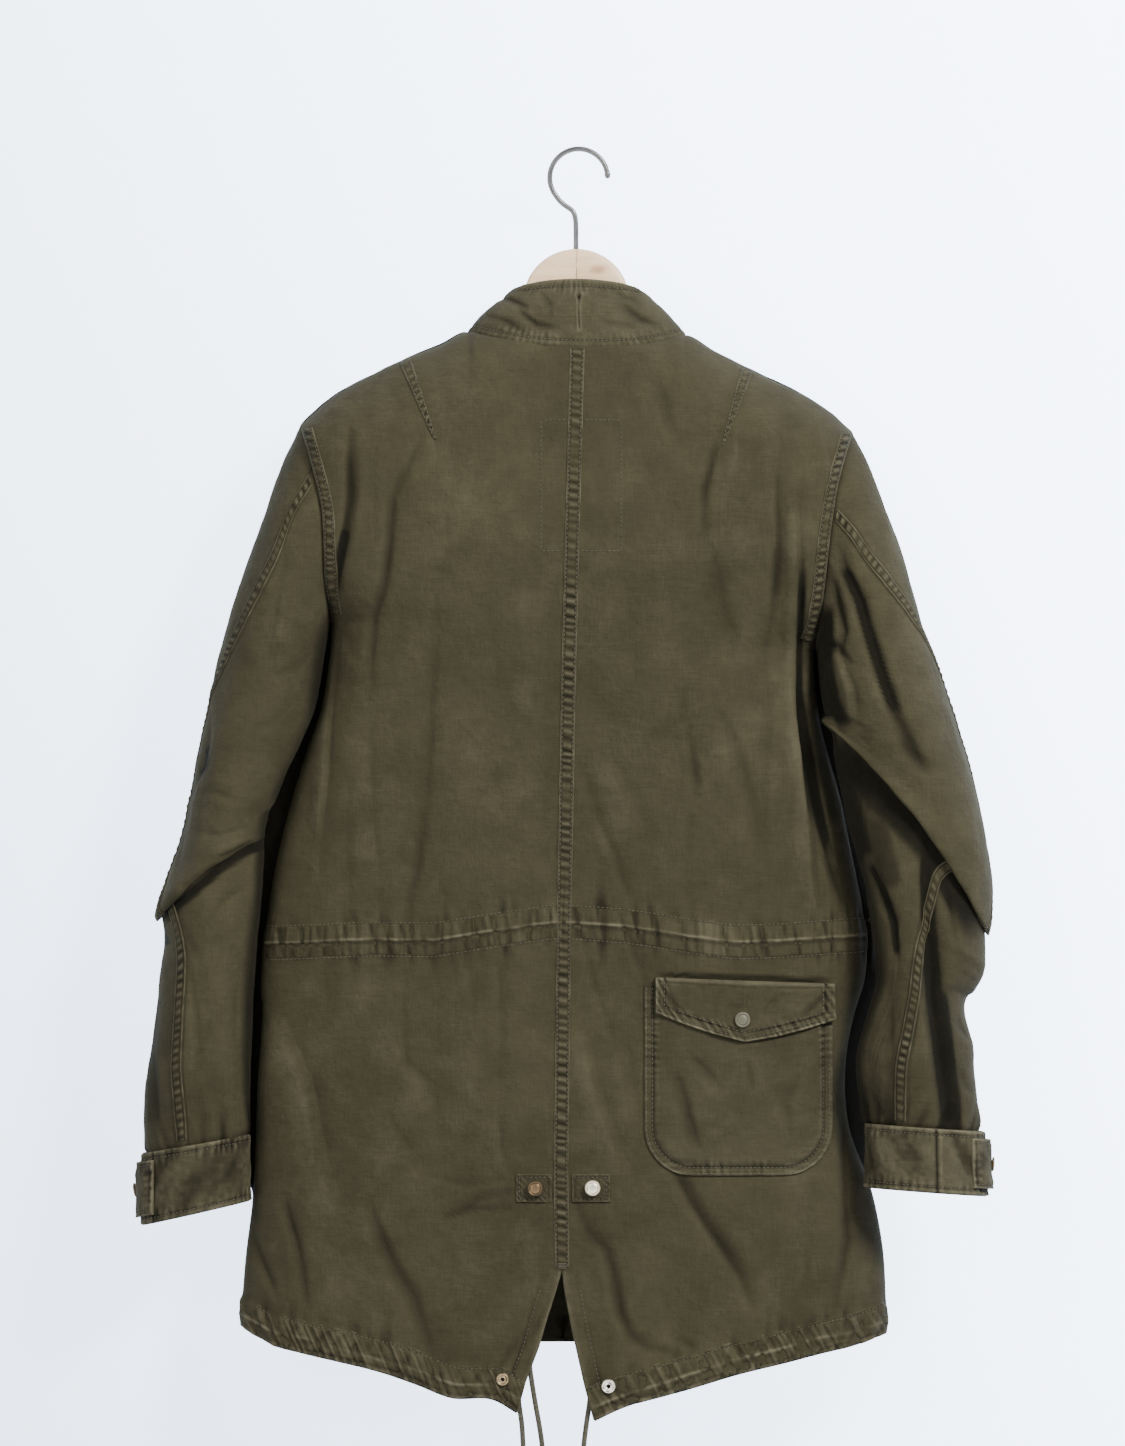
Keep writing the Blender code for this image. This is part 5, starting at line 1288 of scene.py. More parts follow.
def build_pocket(cloth):
    """The bag with its flat stitched flange and swelling middle, and the pointed flap over it."""

    def bag_outline(u, v):
        z = POCKET_TOP + (POCKET_BOTTOM - POCKET_TOP) * v
        rise = np.clip(POCKET_CORNER - (z - POCKET_BOTTOM), 0, POCKET_CORNER)
        narrower = POCKET_CORNER - np.sqrt(POCKET_CORNER**2 - rise**2)
        return POCKET_MIDDLE + (POCKET_HALF - narrower) * (2 * u - 1), z

    def bag_relief(u, v, x, z):
        rim = bag_rim(x, z)
        along = np.where(rim < z - POCKET_BOTTOM, z, x)
        rope = pucker(rim - FLANGE + 3, along, 101, 5.5, 5.6)
        creases = crease_height(x, z, POCKET_CREASES)
        height = 0.7 * rumple(x, z, 24, 102) + 0.3 * rumple(x, z, 7, 103) + creases
        height = height * step(rim, FLANGE, FLANGE + 8) + 0.9 * rope
        height -= 0.5 * (bell(rim - 1.6, 0.8) + bell(rim - FLANGE + 1.4, 0.8))
        height += 1.3 + 2.2 * step(rim, FLANGE - 1, FLANGE + 4) + 1.4 * step(rim, FLANGE, 60)
        wear = 0.4 * bell(rim - 0.5, 1) + 0.2 * bell(rim - FLANGE - 2.2, 1.3) + 1 * held(rope)
        # painted shade in the groove by the flange, the hollows between ropes and creases, and a painted
        # shadow under the flap's top
        shade = 0.7 * bell(rim - FLANGE + 1, 1) + 0.9 * held(-rope)
        shade += 0.3 * np.clip(-creases - 0.4, 0, 3) + 0.9 * bell(z + 640 - 0.05 * x, 4)
        return height, wear + 0.08 * rumple(x, z, 17, 104), shade

    routes = [bag_route(1.6), bag_route(FLANGE - 1.4)]
    bag = build_patch("pocket_bag", "right", bag_outline, (122, 122), bag_relief, cloth, routes)

    left, right, rise = FLAP["left"], FLAP["right"], FLAP["top_left"]
    fall = FLAP["top_right"] - rise
    middle = (left + right) / 2

    def flap_outline(u, v):
        bend = 1 - abs(2 * u - 1)
        point = bend + 0.10 * np.sin(np.pi * bend)
        deep = FLAP["side_drop"] + (FLAP["point_drop"] - FLAP["side_drop"]) * point
        return left + (right - left) * u, rise + fall * u - deep * v

    def flap_relief(u, v, x, z):
        bottom = flap_outline(u, np.ones(u.shape))[1]
        rim = np.minimum(np.minimum(x - left, right - x), (z - bottom) * 0.93)
        rope = pucker(rim - 3.6, x + 0.6 * z, 111, 4.6, 5.4)
        top = v * FLAP["side_drop"]
        creases = crease_height(x, z, FLAP_CREASES)
        height = 4.9 + 1.4 * np.sin(np.pi * u) * v + 1.1 * v + creases
        height += 0.6 * rumple(x, z, 12, 112) + 0.25 * rumple(x, z, 4.5, 113) + 1 * rope
        height -= 0.5 * (bell(rim - 1.8, 0.8) + bell(rim - 6.8, 0.8) + bell(top - 3.4, 0.8))
        height -= 0.9 * bell(np.hypot(x - FLAP_SNAP[0], z - FLAP_SNAP[1]) - 7.5, 3)
        wear = 0.9 * bell(rim, 1.6) * (0.6 + 0.6 * wave(x + z, 5, 115)) + 1.2 * held(rope)
        wear += 0.5 * bell(top - 1, 1.2) + 0.12 * rumple(x, z, 12, 114)
        # painted shade in the inner stitch groove, the hollows between ropes and the creases
        shade = 0.6 * bell(rim - 6.8, 1) + 1.1 * held(-rope) + 0.35 * np.clip(-creases - 0.3, 0, 3)
        return height, wear, shade

    sides = FLAP["side_drop"] + 1
    point = rise + fall / 2 - FLAP["point_drop"]
    routes = [
        [
            (left + inset, rise - 2), (left + inset, rise - sides + inset * 0.8),
            (middle, point + inset * 1.07), (right - inset, rise + fall - sides + inset * 0.8),
            (right - inset, rise + fall - 2),
        ]
        for inset in (1.8, 6.8)
    ]
    flap = build_patch("pocket_flap", "right", flap_outline, (170, 56), flap_relief, cloth, routes)
    return bag, flap


def build_vent_tabs(cloth):
    """Two small stitched tabs beside the seam, under their snap caps."""
    pieces = []
    for number, (name, side, left, right, top, bottom) in enumerate(VENT_TABS):

        def outline(u, v):
            return left + (right - left) * u, top + (bottom - top) * v

        def relief(u, v, x, z):
            rim = np.minimum(np.minimum(x - left, right - x), np.minimum(top - z, z - bottom))
            rope = pucker(rim - 2.2, x + z, 121 + number, 3.2, 4.6)
            height = 1 + 0.5 * rumple(x, z, 6, 123 + number) + 0.6 * rope
            height -= 0.4 * bell(rim - VENT_STITCH, 0.8)
            wear = 0.2 * bell(rim, 1.2) + 0.5 * held(rope) + 0.1 * rumple(x, z, 6, 125)
            # painted shade in the stitch groove and the hollows between ropes
            return height, wear, 0.4 * bell(rim - VENT_STITCH, 0.9) + 0.7 * held(-rope)

        far, near = (left, right) if side == "left" else (right, left)
        far -= SIDES[side] * VENT_STITCH
        upper, lower = top - VENT_STITCH, bottom + VENT_STITCH
        corners = [(near, upper), (far, upper), (far, lower), (near, lower)]
        pieces.append(build_patch(name, side, outline, (40, 34), relief, cloth, [corners]))
    return pieces


def build_cuff_tab(side, cloth):
    """A strap across the cuff's outer end: its ends lie on the cuff and its middle stands off."""
    reach = np.pad(np.radians(np.linspace(-TAB_REACH, 0.8 * TAB_REACH, 80)), 3, mode="edge")
    rows = np.pad(np.linspace(TAB_FROM, TAB_TO, 40) / CUFF_TALL, 3, mode="edge")
    points, out = cuff_rings(side, rows, reach)
    stand = TAB_STAND * np.cos(reach * 90 / TAB_REACH)[None, :]
    sink = rims(points.shape[:2], (0, 0.3, 0.8))
    tall = rows[:, None] * CUFF_TALL + 0 * stand
    wide = reach[None, :] * CUFF_RADIUS + 0 * tall
    seed = 131 if side == "left" else 141
    ends = np.minimum(tall - TAB_FROM, TAB_TO - tall)
    rim = np.minimum(ends, np.minimum(wide - wide[0, 0], wide[0, -1] - wide))
    along = np.where(rim < ends, tall, wide)
    rope = pucker(rim - 2.5, along, seed + 1, 4, 5)
    bumps = rumple(wide, tall, 8, seed) + 0.5 * rumple(wide, tall, 3.6, seed + 3)
    height = 0.8 * bumps + 0.9 * rope - 0.4 * bell(rim - 2.6, 0.8)
    lifted = 1 + stand + (PATCH + 0.8 + height) * sink
    wear = held(0.15 + 0.8 * bell(rim, 1.3) + 0.9 * held(rope) + 0.2 * bumps) * sink
    # painted shade in the stitch groove and the hollows between ropes, less on the bumps
    shade = held(0.5 * bell(rim - 2.6, 1) + 0.9 * held(-rope) - 0.3 * bumps)
    name = f"cuff_tab_{side}_cloth"
    places = points + out * lifted[..., None]
    piece = add_cloth(name, places, out, cloth, wide, tall, wear, shade)
    for row in (6, -7):
        sew(name, places[row, 5:-5], out[row, 5:-5])
    return stand_in(piece, f"cuff_tab_{side}")


def collar_rings(turn):
    """The neckline and the collar's upper edge round a turn that starts at the centre front.

    0 to 90 degrees is the left front, then the left back, the right back and the right front.
    """
    share = abs(np.sin(turn))
    lower = np.zeros((len(turn), 3))
    for face, facing in ((FRONT, np.cos(turn) > 0), (BACK, np.cos(turn) <= 0)):
        for side, on_side in (("left", turn < np.pi), ("right", turn >= np.pi)):
            here = facing & on_side
            lower[here] = body_point(side, face, share[here] * NECK_SHARE, 0 * share[here])
    across = abs(np.cos(turn))
    sign = np.where(turn < np.pi, -1, 1)
    facing = np.where(np.cos(turn) > 0, FRONT, BACK)
    far = np.where(facing == BACK, COLLAR_TOP[BACK], COLLAR_TOP[FRONT])
    depth = np.where(facing == BACK, 25, 24)
    z = COLLAR_SHOULDER + (far - COLLAR_SHOULDER) * across**1.2
    upper = np.stack([sign * share * COLLAR_HALF - 2, facing * across * depth, z], axis=-1)
    return lower, upper


def build_collar(cloth):
    """A doubled stand from the neckline up, leaning in and open at the centre front."""
    turn = np.radians(np.linspace(0.6, 359.4, 380))
    lower, upper = collar_rings(turn)
    inside = [(row, -BAND - 0.4) for row in np.linspace(0.02, 0.96, 10)]
    over = [(0.985, -2.2), (1, -1.4), (1.006, -0.4), (0.998, 0.5)]
    outside = [(row, 0.9) for row in np.linspace(0.975, 0.05, 46)]
    under = [(0.02, 0.8), (0, 0.5), (-0.02, -0.4)]
    profile = np.array((*inside, *over, *outside, *under))
    up = profile[:, 0][:, None, None]
    points = lower + (upper - lower) * up
    level = np.array((1, 1, 0))
    points = points + 2.5 * np.sin(np.pi * held(up)) * unit(points * level)
    rise = upper - lower
    sideways = np.gradient(points, axis=1)
    out = unit(np.cross(sideways, np.broadcast_to(rise, points.shape)))
    out = out if (out * points * level).sum() > 0 else -out
    tall = np.linalg.norm(rise, axis=-1)[None, :]
    up = profile[:, :1] * tall
    steps = np.gradient(points[len(profile) // 2], axis=0)
    round_it = np.cumsum(np.linalg.norm(steps, axis=-1))[None, :] + 0 * up
    showing = step(profile[:, 1:], 0, 0.8)
    x, z = points[..., 0], points[..., 2]
    back = step(-points[..., 1], -4, 4)
    rope = 1.2 * pucker(up - 4, round_it, 151, 6, 4.2) + 1.3 * pucker(tall - up - 3, round_it, 152, 6.5, 4.2)
    creases = crease_height(x, z, COLLAR_CREASES) * back
    soft = 0.8 * rumple(round_it, up, 22, 153) + 0.45 * rumple(round_it, up, 7, 154)
    stitch = bell(up - COLLAR_STITCH, 0.9) + bell(tall - up - COLLAR_TOP_STITCH, 0.9)
    height = showing * (rope + creases + soft - 0.45 * stitch)
    eye = bell(np.hypot(x - 0.3, z + 112.5), 1.7)
    fork = abs(x - 0.4) - 0.9 - 1.4 * step(z, -120, -110)
    slot = 0.7 * bell(x - 0.4, 0.6) * step(z, -139, -136) * step(-z, 112, 114) * back
    lip = bell(fork, 0.8) * step(z, -141, -138) * step(-z, 108, 110) * back
    height += showing * (0.8 * lip - 1.2 * slot - 1.2 * eye * back)
    wear = held(0.08 + 0.5 * bell(tall - up, 1.8) + 0.6 * held(rope) + 0.45 * lip + 0.12 * soft)
    # painted shade in the stitch grooves, between ropes and in creases, and a painted dark buttonhole slot
    # and eye over shallow dips
    shade = 0.5 * stitch + 0.7 * held(-rope) + slot + eye * back + 0.3 * np.clip(-creases - 0.3, 0, 3)
    places = points + out * (profile[:, 1:] + height)[..., None]
    piece = add_cloth("collar_cloth", places, out, cloth, round_it, up, wear, held(shade) * showing)
    first = len(inside) + len(over)
    top_row, low_row = outside[0][0], outside[-1][0]
    for value in (COLLAR_STITCH / tall[0], 1 - COLLAR_TOP_STITCH / tall[0]):
        row = first + (top_row - value) / (top_row - low_row) * (len(outside) - 1)
        sew("collar_cloth", at_rows(places, row), at_rows(out, row))
    return stand_in(piece, "collar")


def build_placket(cloth):
    """The strip over the front opening, stitched down both sides, its edges turned under."""
    across = np.pad(np.linspace(-1, 1, 38), 2, mode="edge") * PLACKET_SHARE
    down = np.pad(np.linspace(0.02, 0.988, 230), 2, mode="edge")
    fall, share = np.meshgrid(down, across, indexing="ij")
    sides = [body_point(side, FRONT, abs(share), fall) for side in SIDES]
    points = np.where((share < 0)[..., None], *sides)
    out = grid_normals(points[2:-2, 2:-2])
    out = out if out[..., 1].sum() > 0 else -out
    out = np.pad(out, ((2, 2), (2, 2), (0, 0)), mode="edge")
    sink = rims(share.shape, (0, 0.6))
    x, z = points[..., 0], points[..., 2]
    half = (x[:, -1:] - x[:, :1]) / 2
    rim = half - abs(x - (x[:, -1:] + x[:, :1]) / 2)
    rope = pucker(rim - 3, z, 161, 4)
    height = 1.1 * rope + 0.7 * rumple(x, z, 22, 162, 1.5) + 0.3 * rumple(x, z, 7, 163)
    height -= 0.5 * (bell(rim - 2.2, 0.9) + bell(rim - PLACKET_STITCH, 0.9))
    # painted light: the placket's bottom lies in shade behind the vent and is painted paler there, carried
    # in its wear
    low = 1 - step(z, -905, -865)
    wear = 0.6 * bell(rim, 1.8) + 0.7 * rope + 0.1 * rumple(x, z, 16, 164)
    wear = held(wear + low * (0.5 + 0.5 * wave(x, 3, 165)))
    # painted shade in the stitch groove and the hollows between ropes
    shade = held(0.5 * bell(rim - PLACKET_STITCH, 1.1) - 0.7 * rope)
    places = points + out * (0.3 + (3 + height) * sink)[..., None]
    lines = (3, 9, -10, -4)
    piece = add_cloth("placket_cloth", places, out, cloth, x, z, wear * sink, shade, columns=lines)
    return stand_in(piece, "placket")


# ---- snaps, hanger and cords
HANGER_TALL = (52, 20)
HANGER_HALF_THICK = 6
NECK_REACH = 98
WIRE_RADIUS = 2.05
HOOK_CENTRE = np.array((0.2, 0, -20.3))
HOOK_RADIUS = 22.2
STEM_X = -1.9
CORD_RADIUS = 2
KNOT_CORD_RADIUS = 1.75


def lathe(name, profile, place, direction, material, turns=48):
    """A profile of (out, up) in millimetres turned about its axis, which stands on place."""
    profile = np.asarray(profile, dtype=float)
    angle = np.linspace(0, 2 * np.pi, turns, endpoint=False)
    up = unit(np.asarray(direction, dtype=float))
    right = unit(np.cross(up, (0.31, 0.22, 0.9)))
    ahead = np.cross(up, right)
    ring = np.cos(angle)[:, None] * right + np.sin(angle)[:, None] * ahead
    points = place + profile[:, :1, None] * ring[None] + profile[:, 1, None, None] * up
    obj = add_shell(name, points, material, True)
    out, rise = (np.repeat(profile[:, i], turns) for i in (0, 1))
    set_uv(obj, np.append(out, [0, 0]), np.append(rise, [0, 0]))
    return obj


def add_shell(name, points, material, closed):
    """A closed tube or turned shape from a grid, its first and last rows closed by a fan."""
    rows, columns = points.shape[:2]
    faces = grid_faces(rows, columns, closed)
    triangles = np.concatenate([faces[:, [0, 1, 2]], faces[:, [0, 2, 3]]])
    ends = np.stack([points[0].mean(axis=0), points[-1].mean(axis=0)])
    ring = np.arange(columns)
    after = (ring + 1) % columns
    first, last = rows * columns, rows * columns + 1
    start = np.stack([np.full(columns, first), ring, after], axis=-1)
    base = (rows - 1) * columns
    finish = np.stack([np.full(columns, last), base + after, base + ring], axis=-1)
    faces = np.concatenate([triangles, start, finish])
    places = np.concatenate([points.reshape(-1, 3), ends])
    corners = places[faces]
    if np.einsum("ij,ij->i", corners[:, 0], np.cross(corners[:, 1], corners[:, 2])).sum() < 0:
        faces = faces[:, ::-1]
    obj = new_object(name, places, faces, material)
    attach(obj, BODY)
    return obj


def tube(name, route, radius, material, sides=20):
    """A tube of round section carried along a route, its ends rounded.

    The section turns with the route without twisting: each step carries the last frame on.
    """
    route = np.asarray(route, dtype=float)
    way = unit(np.gradient(route, axis=0))
    across = np.zeros_like(route)
    across[0] = unit(np.cross(way[0], (0.1, 1, 0.2)))
    for i in range(1, len(route)):
        across[i] = unit(across[i - 1] - way[i] * (across[i - 1] @ way[i]))
    other = np.cross(way, across)
    angle = np.linspace(0, 2 * np.pi, sides, endpoint=False)
    ring = np.cos(angle)[None, :, None] * across[:, None] + np.sin(angle)[None, :, None] * other[:, None]
    points = route[:, None] + ring * np.broadcast_to(radius, len(route))[:, None, None]
    quarter = np.radians((75, 50, 25))
    size = np.broadcast_to(radius, len(route))
    front, rear = (
        [
            route[end] + sign * way[end] * size[end] * np.sin(a) + ring[end] * size[end] * np.cos(a)
            for a in turn
        ]
        for end, sign, turn in ((0, -1, quarter), (-1, 1, quarter[::-1]))
    )
    points = np.concatenate([front, points, rear])
    length = run_lengths(points.mean(axis=1))
    obj = add_shell(name, points, material, True)
    u = np.broadcast_to(angle[None, :] / (2 * np.pi), points.shape[:2]).ravel()
    v = np.repeat(length, sides)
    set_uv(obj, np.concatenate([u * 1000, [0, 0]]), np.concatenate([v, [v[0], v[-1]]]))
    return obj


def cap_profile(diameter, kind):
    """Out and up of a snap cap: a rolled rim round a dished or pierced middle."""
    radius = diameter / 2
    rise = diameter * 0.17
    roll = np.radians(np.linspace(-80, 200, 14))
    rim = [radius * 0.84 + radius * 0.16 * np.cos(roll), rise * 0.52 + rise * 0.5 * np.sin(roll)]
    rim = np.stack(rim, axis=-1)
    middles = {
        "cap": ((0.70, 0.72), (0.60, 0.90), (0.45, 1.04), (0.25, 1.12), (0.02, 1.14)),
        "socket": ((0.60, 0.42), (0.46, 0.40), (0.40, 0.62), (0.34, 0.60), (0.30, 0.10), (0.02, 0.08)),
    }
    middle = np.array(middles[kind]) * (radius, rise)
    return np.concatenate([[(radius * 0.86, 0)], rim, middle])


def build_snap(name, place, out, diameter, kind, material):
    return stand_in(lathe(name + "_cap", cap_profile(diameter, kind), place, out, material), name)


def squared(value, power):
    return np.sign(value) * abs(value) ** power


def arm_top(side, x):
    """Height of the hanger's top: the dome over the neck, then under the shoulder seam."""
    z = TOP[0, COLUMN[BACK, "left"]]
    inner = centre_x(side, BACK, z)
    reach = edge_x(side, z) - inner
    away = abs(x - DOME_X)
    dome = DOME_TOP - DOME_RADIUS + np.sqrt(np.clip(DOME_RADIUS**2 - away**2, 0, None))
    seam = top_line(side, BACK, held((x - inner) / reach)) - 3.1
    last = top_line(side, BACK, np.array((SIDES[side] * NECK_REACH - inner) / reach)) - 3.1
    neck = np.interp(away, np.append(NECK_WOOD[:, 0], NECK_REACH), np.append(NECK_WOOD[:, 1], last))
    return np.where(away < DOME_RADIUS * 0.95, dome, np.where(away < NECK_REACH, neck, seam))


def build_hanger(wood):
    """Two halves glued at the centre: rounded sections carried out under the shoulders."""
    halves = []
    for side, sign in SIDES.items():
        end = panel_x(side, BACK, 0.95, TOP[0, COLUMN[BACK, "left"]])
        start = DOME_X - sign * 0.4
        along = np.concatenate([np.linspace(0, 0.22, 48), np.linspace(0.22, 1, 60)[1:]])
        x = start + (end - start) * along
        top = blurred(arm_top(side, x)[:, None].repeat(3, axis=1), 3)[:, 1]
        height = HANGER_TALL[0] + (HANGER_TALL[1] - HANGER_TALL[0]) * along
        tip = np.sqrt(np.clip(1 - held((along - 0.93) / 0.07) ** 2, 0.004, 1))
        angle = np.linspace(0, 2 * np.pi, 48, endpoint=False)
        wide = HANGER_HALF_THICK * squared(np.cos(angle), 0.55)
        tall = squared(np.sin(angle), 0.7)
        middle = top - height * tip / 2
        points = np.zeros((len(x), len(angle), 3))
        points[..., 0] = x[:, None]
        points[..., 1] = np.outer(0.35 + 0.65 * tip, wide)
        points[..., 2] = middle[:, None] + np.outer(height * tip / 2, tall)
        half = add_shell(f"hanger_{side}_half", points, wood, True)
        halves.append(stand_in(half, f"hanger_{side}"))
    return halves


def build_hook(steel):
    """Wire bent to three quarters of a circle, a reverse bend and a straight stem."""
    turn = np.radians(np.linspace(4, 212, 120))
    circle = HOOK_CENTRE + HOOK_RADIUS * np.stack([np.cos(turn), 0 * turn, np.sin(turn)], axis=-1)
    start, end = circle[-1], np.array((STEM_X, 0, -60))
    t = np.linspace(0, 1, 40)[1:, None]
    leave, arrive = np.array((10.6, 0, -17)), np.array((0, 0, -22))
    bend = (1 - t) ** 3 * start + 3 * t * (1 - t) ** 2 * (start + leave)
    bend = bend + 3 * t**2 * (1 - t) * (end - arrive) + t**3 * end
    stem = np.stack([np.full(12, STEM_X), np.zeros(12), np.linspace(-61, -76.5, 12)], axis=-1)
    route = np.concatenate([circle, bend, stem])
    radius = np.full(len(route), WIRE_RADIUS)
    radius[:4] = (2.2, 2.45, 2.45, 2.2)
    return stand_in(tube("hook_wire", route, radius, steel, 24), "hook")


def cord_route(stops, spacing):
    stops = np.array(stops, dtype=float)
    along = run_lengths(stops)
    return smooth(np.linspace(0, along[-1], int(along[-1] / spacing)), along, stops)


def build_cords(cord):
    """Each drawcord's free end hangs from the hem and is tied in a knot."""
    made = []
    for name, stops in CORDS.items():
        route = cord_route(stops, 1.6)
        piece = tube(name + "_braid", route, CORD_RADIUS, cord, 16)
        turn = np.linspace(0, 2 * np.pi, 120, endpoint=False)
        trefoil = np.stack(
            [np.sin(turn) + 2 * np.sin(2 * turn), np.sin(3 * turn), np.cos(turn) - 2 * np.cos(2 * turn)],
            axis=-1,
        )
        centre = route[-1] - (0, 0, 6.6)
        ring = centre + trefoil * (1.15, 1.6, 1.55)
        tied = name.replace("drawcord", "knot")
        knot = tube(tied + "_tied", np.concatenate([ring, ring[:6]]), KNOT_CORD_RADIUS, cord, 14)
        stand_in(piece, name)
        stand_in(knot, tied)
        tuple(route[0] * MM)
        [tuple(p) for p in route * MM]
        made.append(piece)
    return made


def build_stitches(name, lines, material, length=2.5, gap=0.9, radius=0.27):
    """Threads as small spindles along runs of points that lie on the cloth, with its directions out."""
    starts, ends, outs = [], [], []
    for points, normals in lines:
        along = run_lengths(points)
        first = np.arange(gap, along[-1] - length, length + gap)
        if not len(first):
            continue
        index = np.arange(len(points))
        for store, at in ((starts, first), (ends, first + length)):
            where = np.interp(at, along, index)
            whole = np.clip(where.astype(int), 0, len(points) - 2)
            part = (where - whole)[:, None]
            store.append(points[whole] * (1 - part) + points[whole + 1] * part)
        outs.append(unit(normals[np.interp(first + length / 2, along, index).astype(int)]))
    if not starts:
        raise ValueError(f"{name}: no run is long enough for a stitch")
    a, b, out = (np.concatenate(part) for part in (starts, ends, outs))
    way = unit(b - a)
    side = unit(np.cross(way, out))
    out = np.cross(side, way)
    rings = [a - out * 0.25]
    for share in (0.22, 0.78):
        centre = a + (b - a) * share + out * 0.2
        for x, y in ((1, 0), (0, 1), (-1, 0), (0, -1)):
            rings.append(centre + side * radius * x + out * radius * y)
    rings.append(b - out * 0.25)
    points = np.stack(rings, axis=1)
    corner = [(0, 1 + (i + 1) % 4, 1 + i) for i in range(4)]
    corner += [(9, 5 + i, 5 + (i + 1) % 4) for i in range(4)]
    for i in range(4):
        j = (i + 1) % 4
        corner += [(1 + i, 1 + j, 5 + j), (1 + i, 5 + j, 5 + i)]
    faces = np.array(corner)[None] + np.arange(len(a))[:, None, None] * 10
    obj = new_object(name, points.reshape(-1, 3), faces.reshape(-1, 3), material)
    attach(obj, BODY)
    return obj


# ---- materials
KNOT_AT = (0.0150, -0.0910)
WALL_GLOW = 5.2
FLOOR_GLOW = 2.4
# start of the painted shade over a snap's rim, in millimetres from its middle
RIM_SHADE_FROM = 4.4
# near black painted into a socket's hole as its shadow
HOLE_SHADE_COLOUR = (0.006, 0.005, 0.004)
CORD_STRANDS = 8
CORD_PITCH = 0.0028


class Wire:
    """An output socket: arithmetic on it adds Math nodes to its recipe."""

    def __init__(self, recipe, socket):
        self.recipe = recipe
        self.socket = socket

    def math(self, operation, *values):
        return self.recipe.node("Math", {"operation": operation}, dict(enumerate(values)))

    def __add__(self, other):
        return self.math("ADD", self, other)

    def __radd__(self, other):
        return self.math("ADD", other, self)

    def __sub__(self, other):
        return self.math("SUBTRACT", self, other)

    def __rsub__(self, other):
        return self.math("SUBTRACT", other, self)

    def __mul__(self, other):
        return self.math("MULTIPLY", self, other)

    def __rmul__(self, other):
        return self.math("MULTIPLY", other, self)

    def held(self):
        """The value kept between 0 and 1."""
        return self.recipe.node("Math", {"operation": "ADD", "use_clamp": True}, {0: self, 1: 0})

    def sine(self):
        return self.math("SINE", self)


class Recipe:
    """A material being made: node() adds any node, with its settings first and then its sockets."""

    def __init__(self, name):
        self.material = bpy.data.materials.new(name)
        self.material.use_nodes = True
        self.tree = self.material.node_tree
        self.tree.nodes.clear()
        self.place = self.node("TexCoord", output=3)

    def node(self, kind, settings=(), sockets=(), output=0):
        made = self.tree.nodes.new("ShaderNode" + kind)
        for key, value in dict(settings).items():
            setattr(made, key, value)
        for key, value in dict(sockets).items():
            if isinstance(value, Wire):
                self.tree.links.new(value.socket, made.inputs[key])
            else:
                made.inputs[key].default_value = value
        return Wire(self, made.outputs[output]) if made.outputs else None

    def mix(self, factor, first, second):
        first, second = (pick if isinstance(pick, Wire) else rgba(pick) for pick in (first, second))
        return self.node("Mix", {"data_type": "RGBA"}, {0: factor, 6: first, 7: second}, 2)

    def noise(self, scale, detail=3, roughness=0.55, vector=None):
        vector = vector or self.place
        sockets = {"Vector": vector, "Scale": scale, "Detail": detail, "Roughness": roughness}
        return self.node("TexNoise", {}, sockets)

    def stretched(self, scale, start=0):
        sockets = {"Vector": self.place, "Location": (start, 0, 0), "Scale": scale}
        return self.node("Mapping", {}, sockets)

    def attribute(self, name):
        return self.node("Attribute", {"attribute_name": name}, {}, 2)

    def axes(self, vector):
        parts = self.node("SeparateXYZ", {}, {0: vector})
        return [Wire(self, socket) for socket in parts.socket.node.outputs]

    def weave(self):
        """The two lengths of the cloth's own map, in metres."""
        return self.axes(self.node("UVMap", {"uv_map": "cloth"}))[:2]

    def bump(self, height, strength, distance, under=None):
        sockets = {"Height": height, "Strength": strength, "Distance": distance}
        return self.node("Bump", {}, sockets | ({"Normal": under} if under else {}))

    def finish(self, **sockets):
        named = {key.replace("_", " "): value for key, value in sockets.items()}
        self.node("OutputMaterial", {}, {"Surface": self.node("BsdfPrincipled", {}, named)})
        return self.material


def rgba(colour, share=1):
    return (*(value * share for value in colour[:3]), 1)


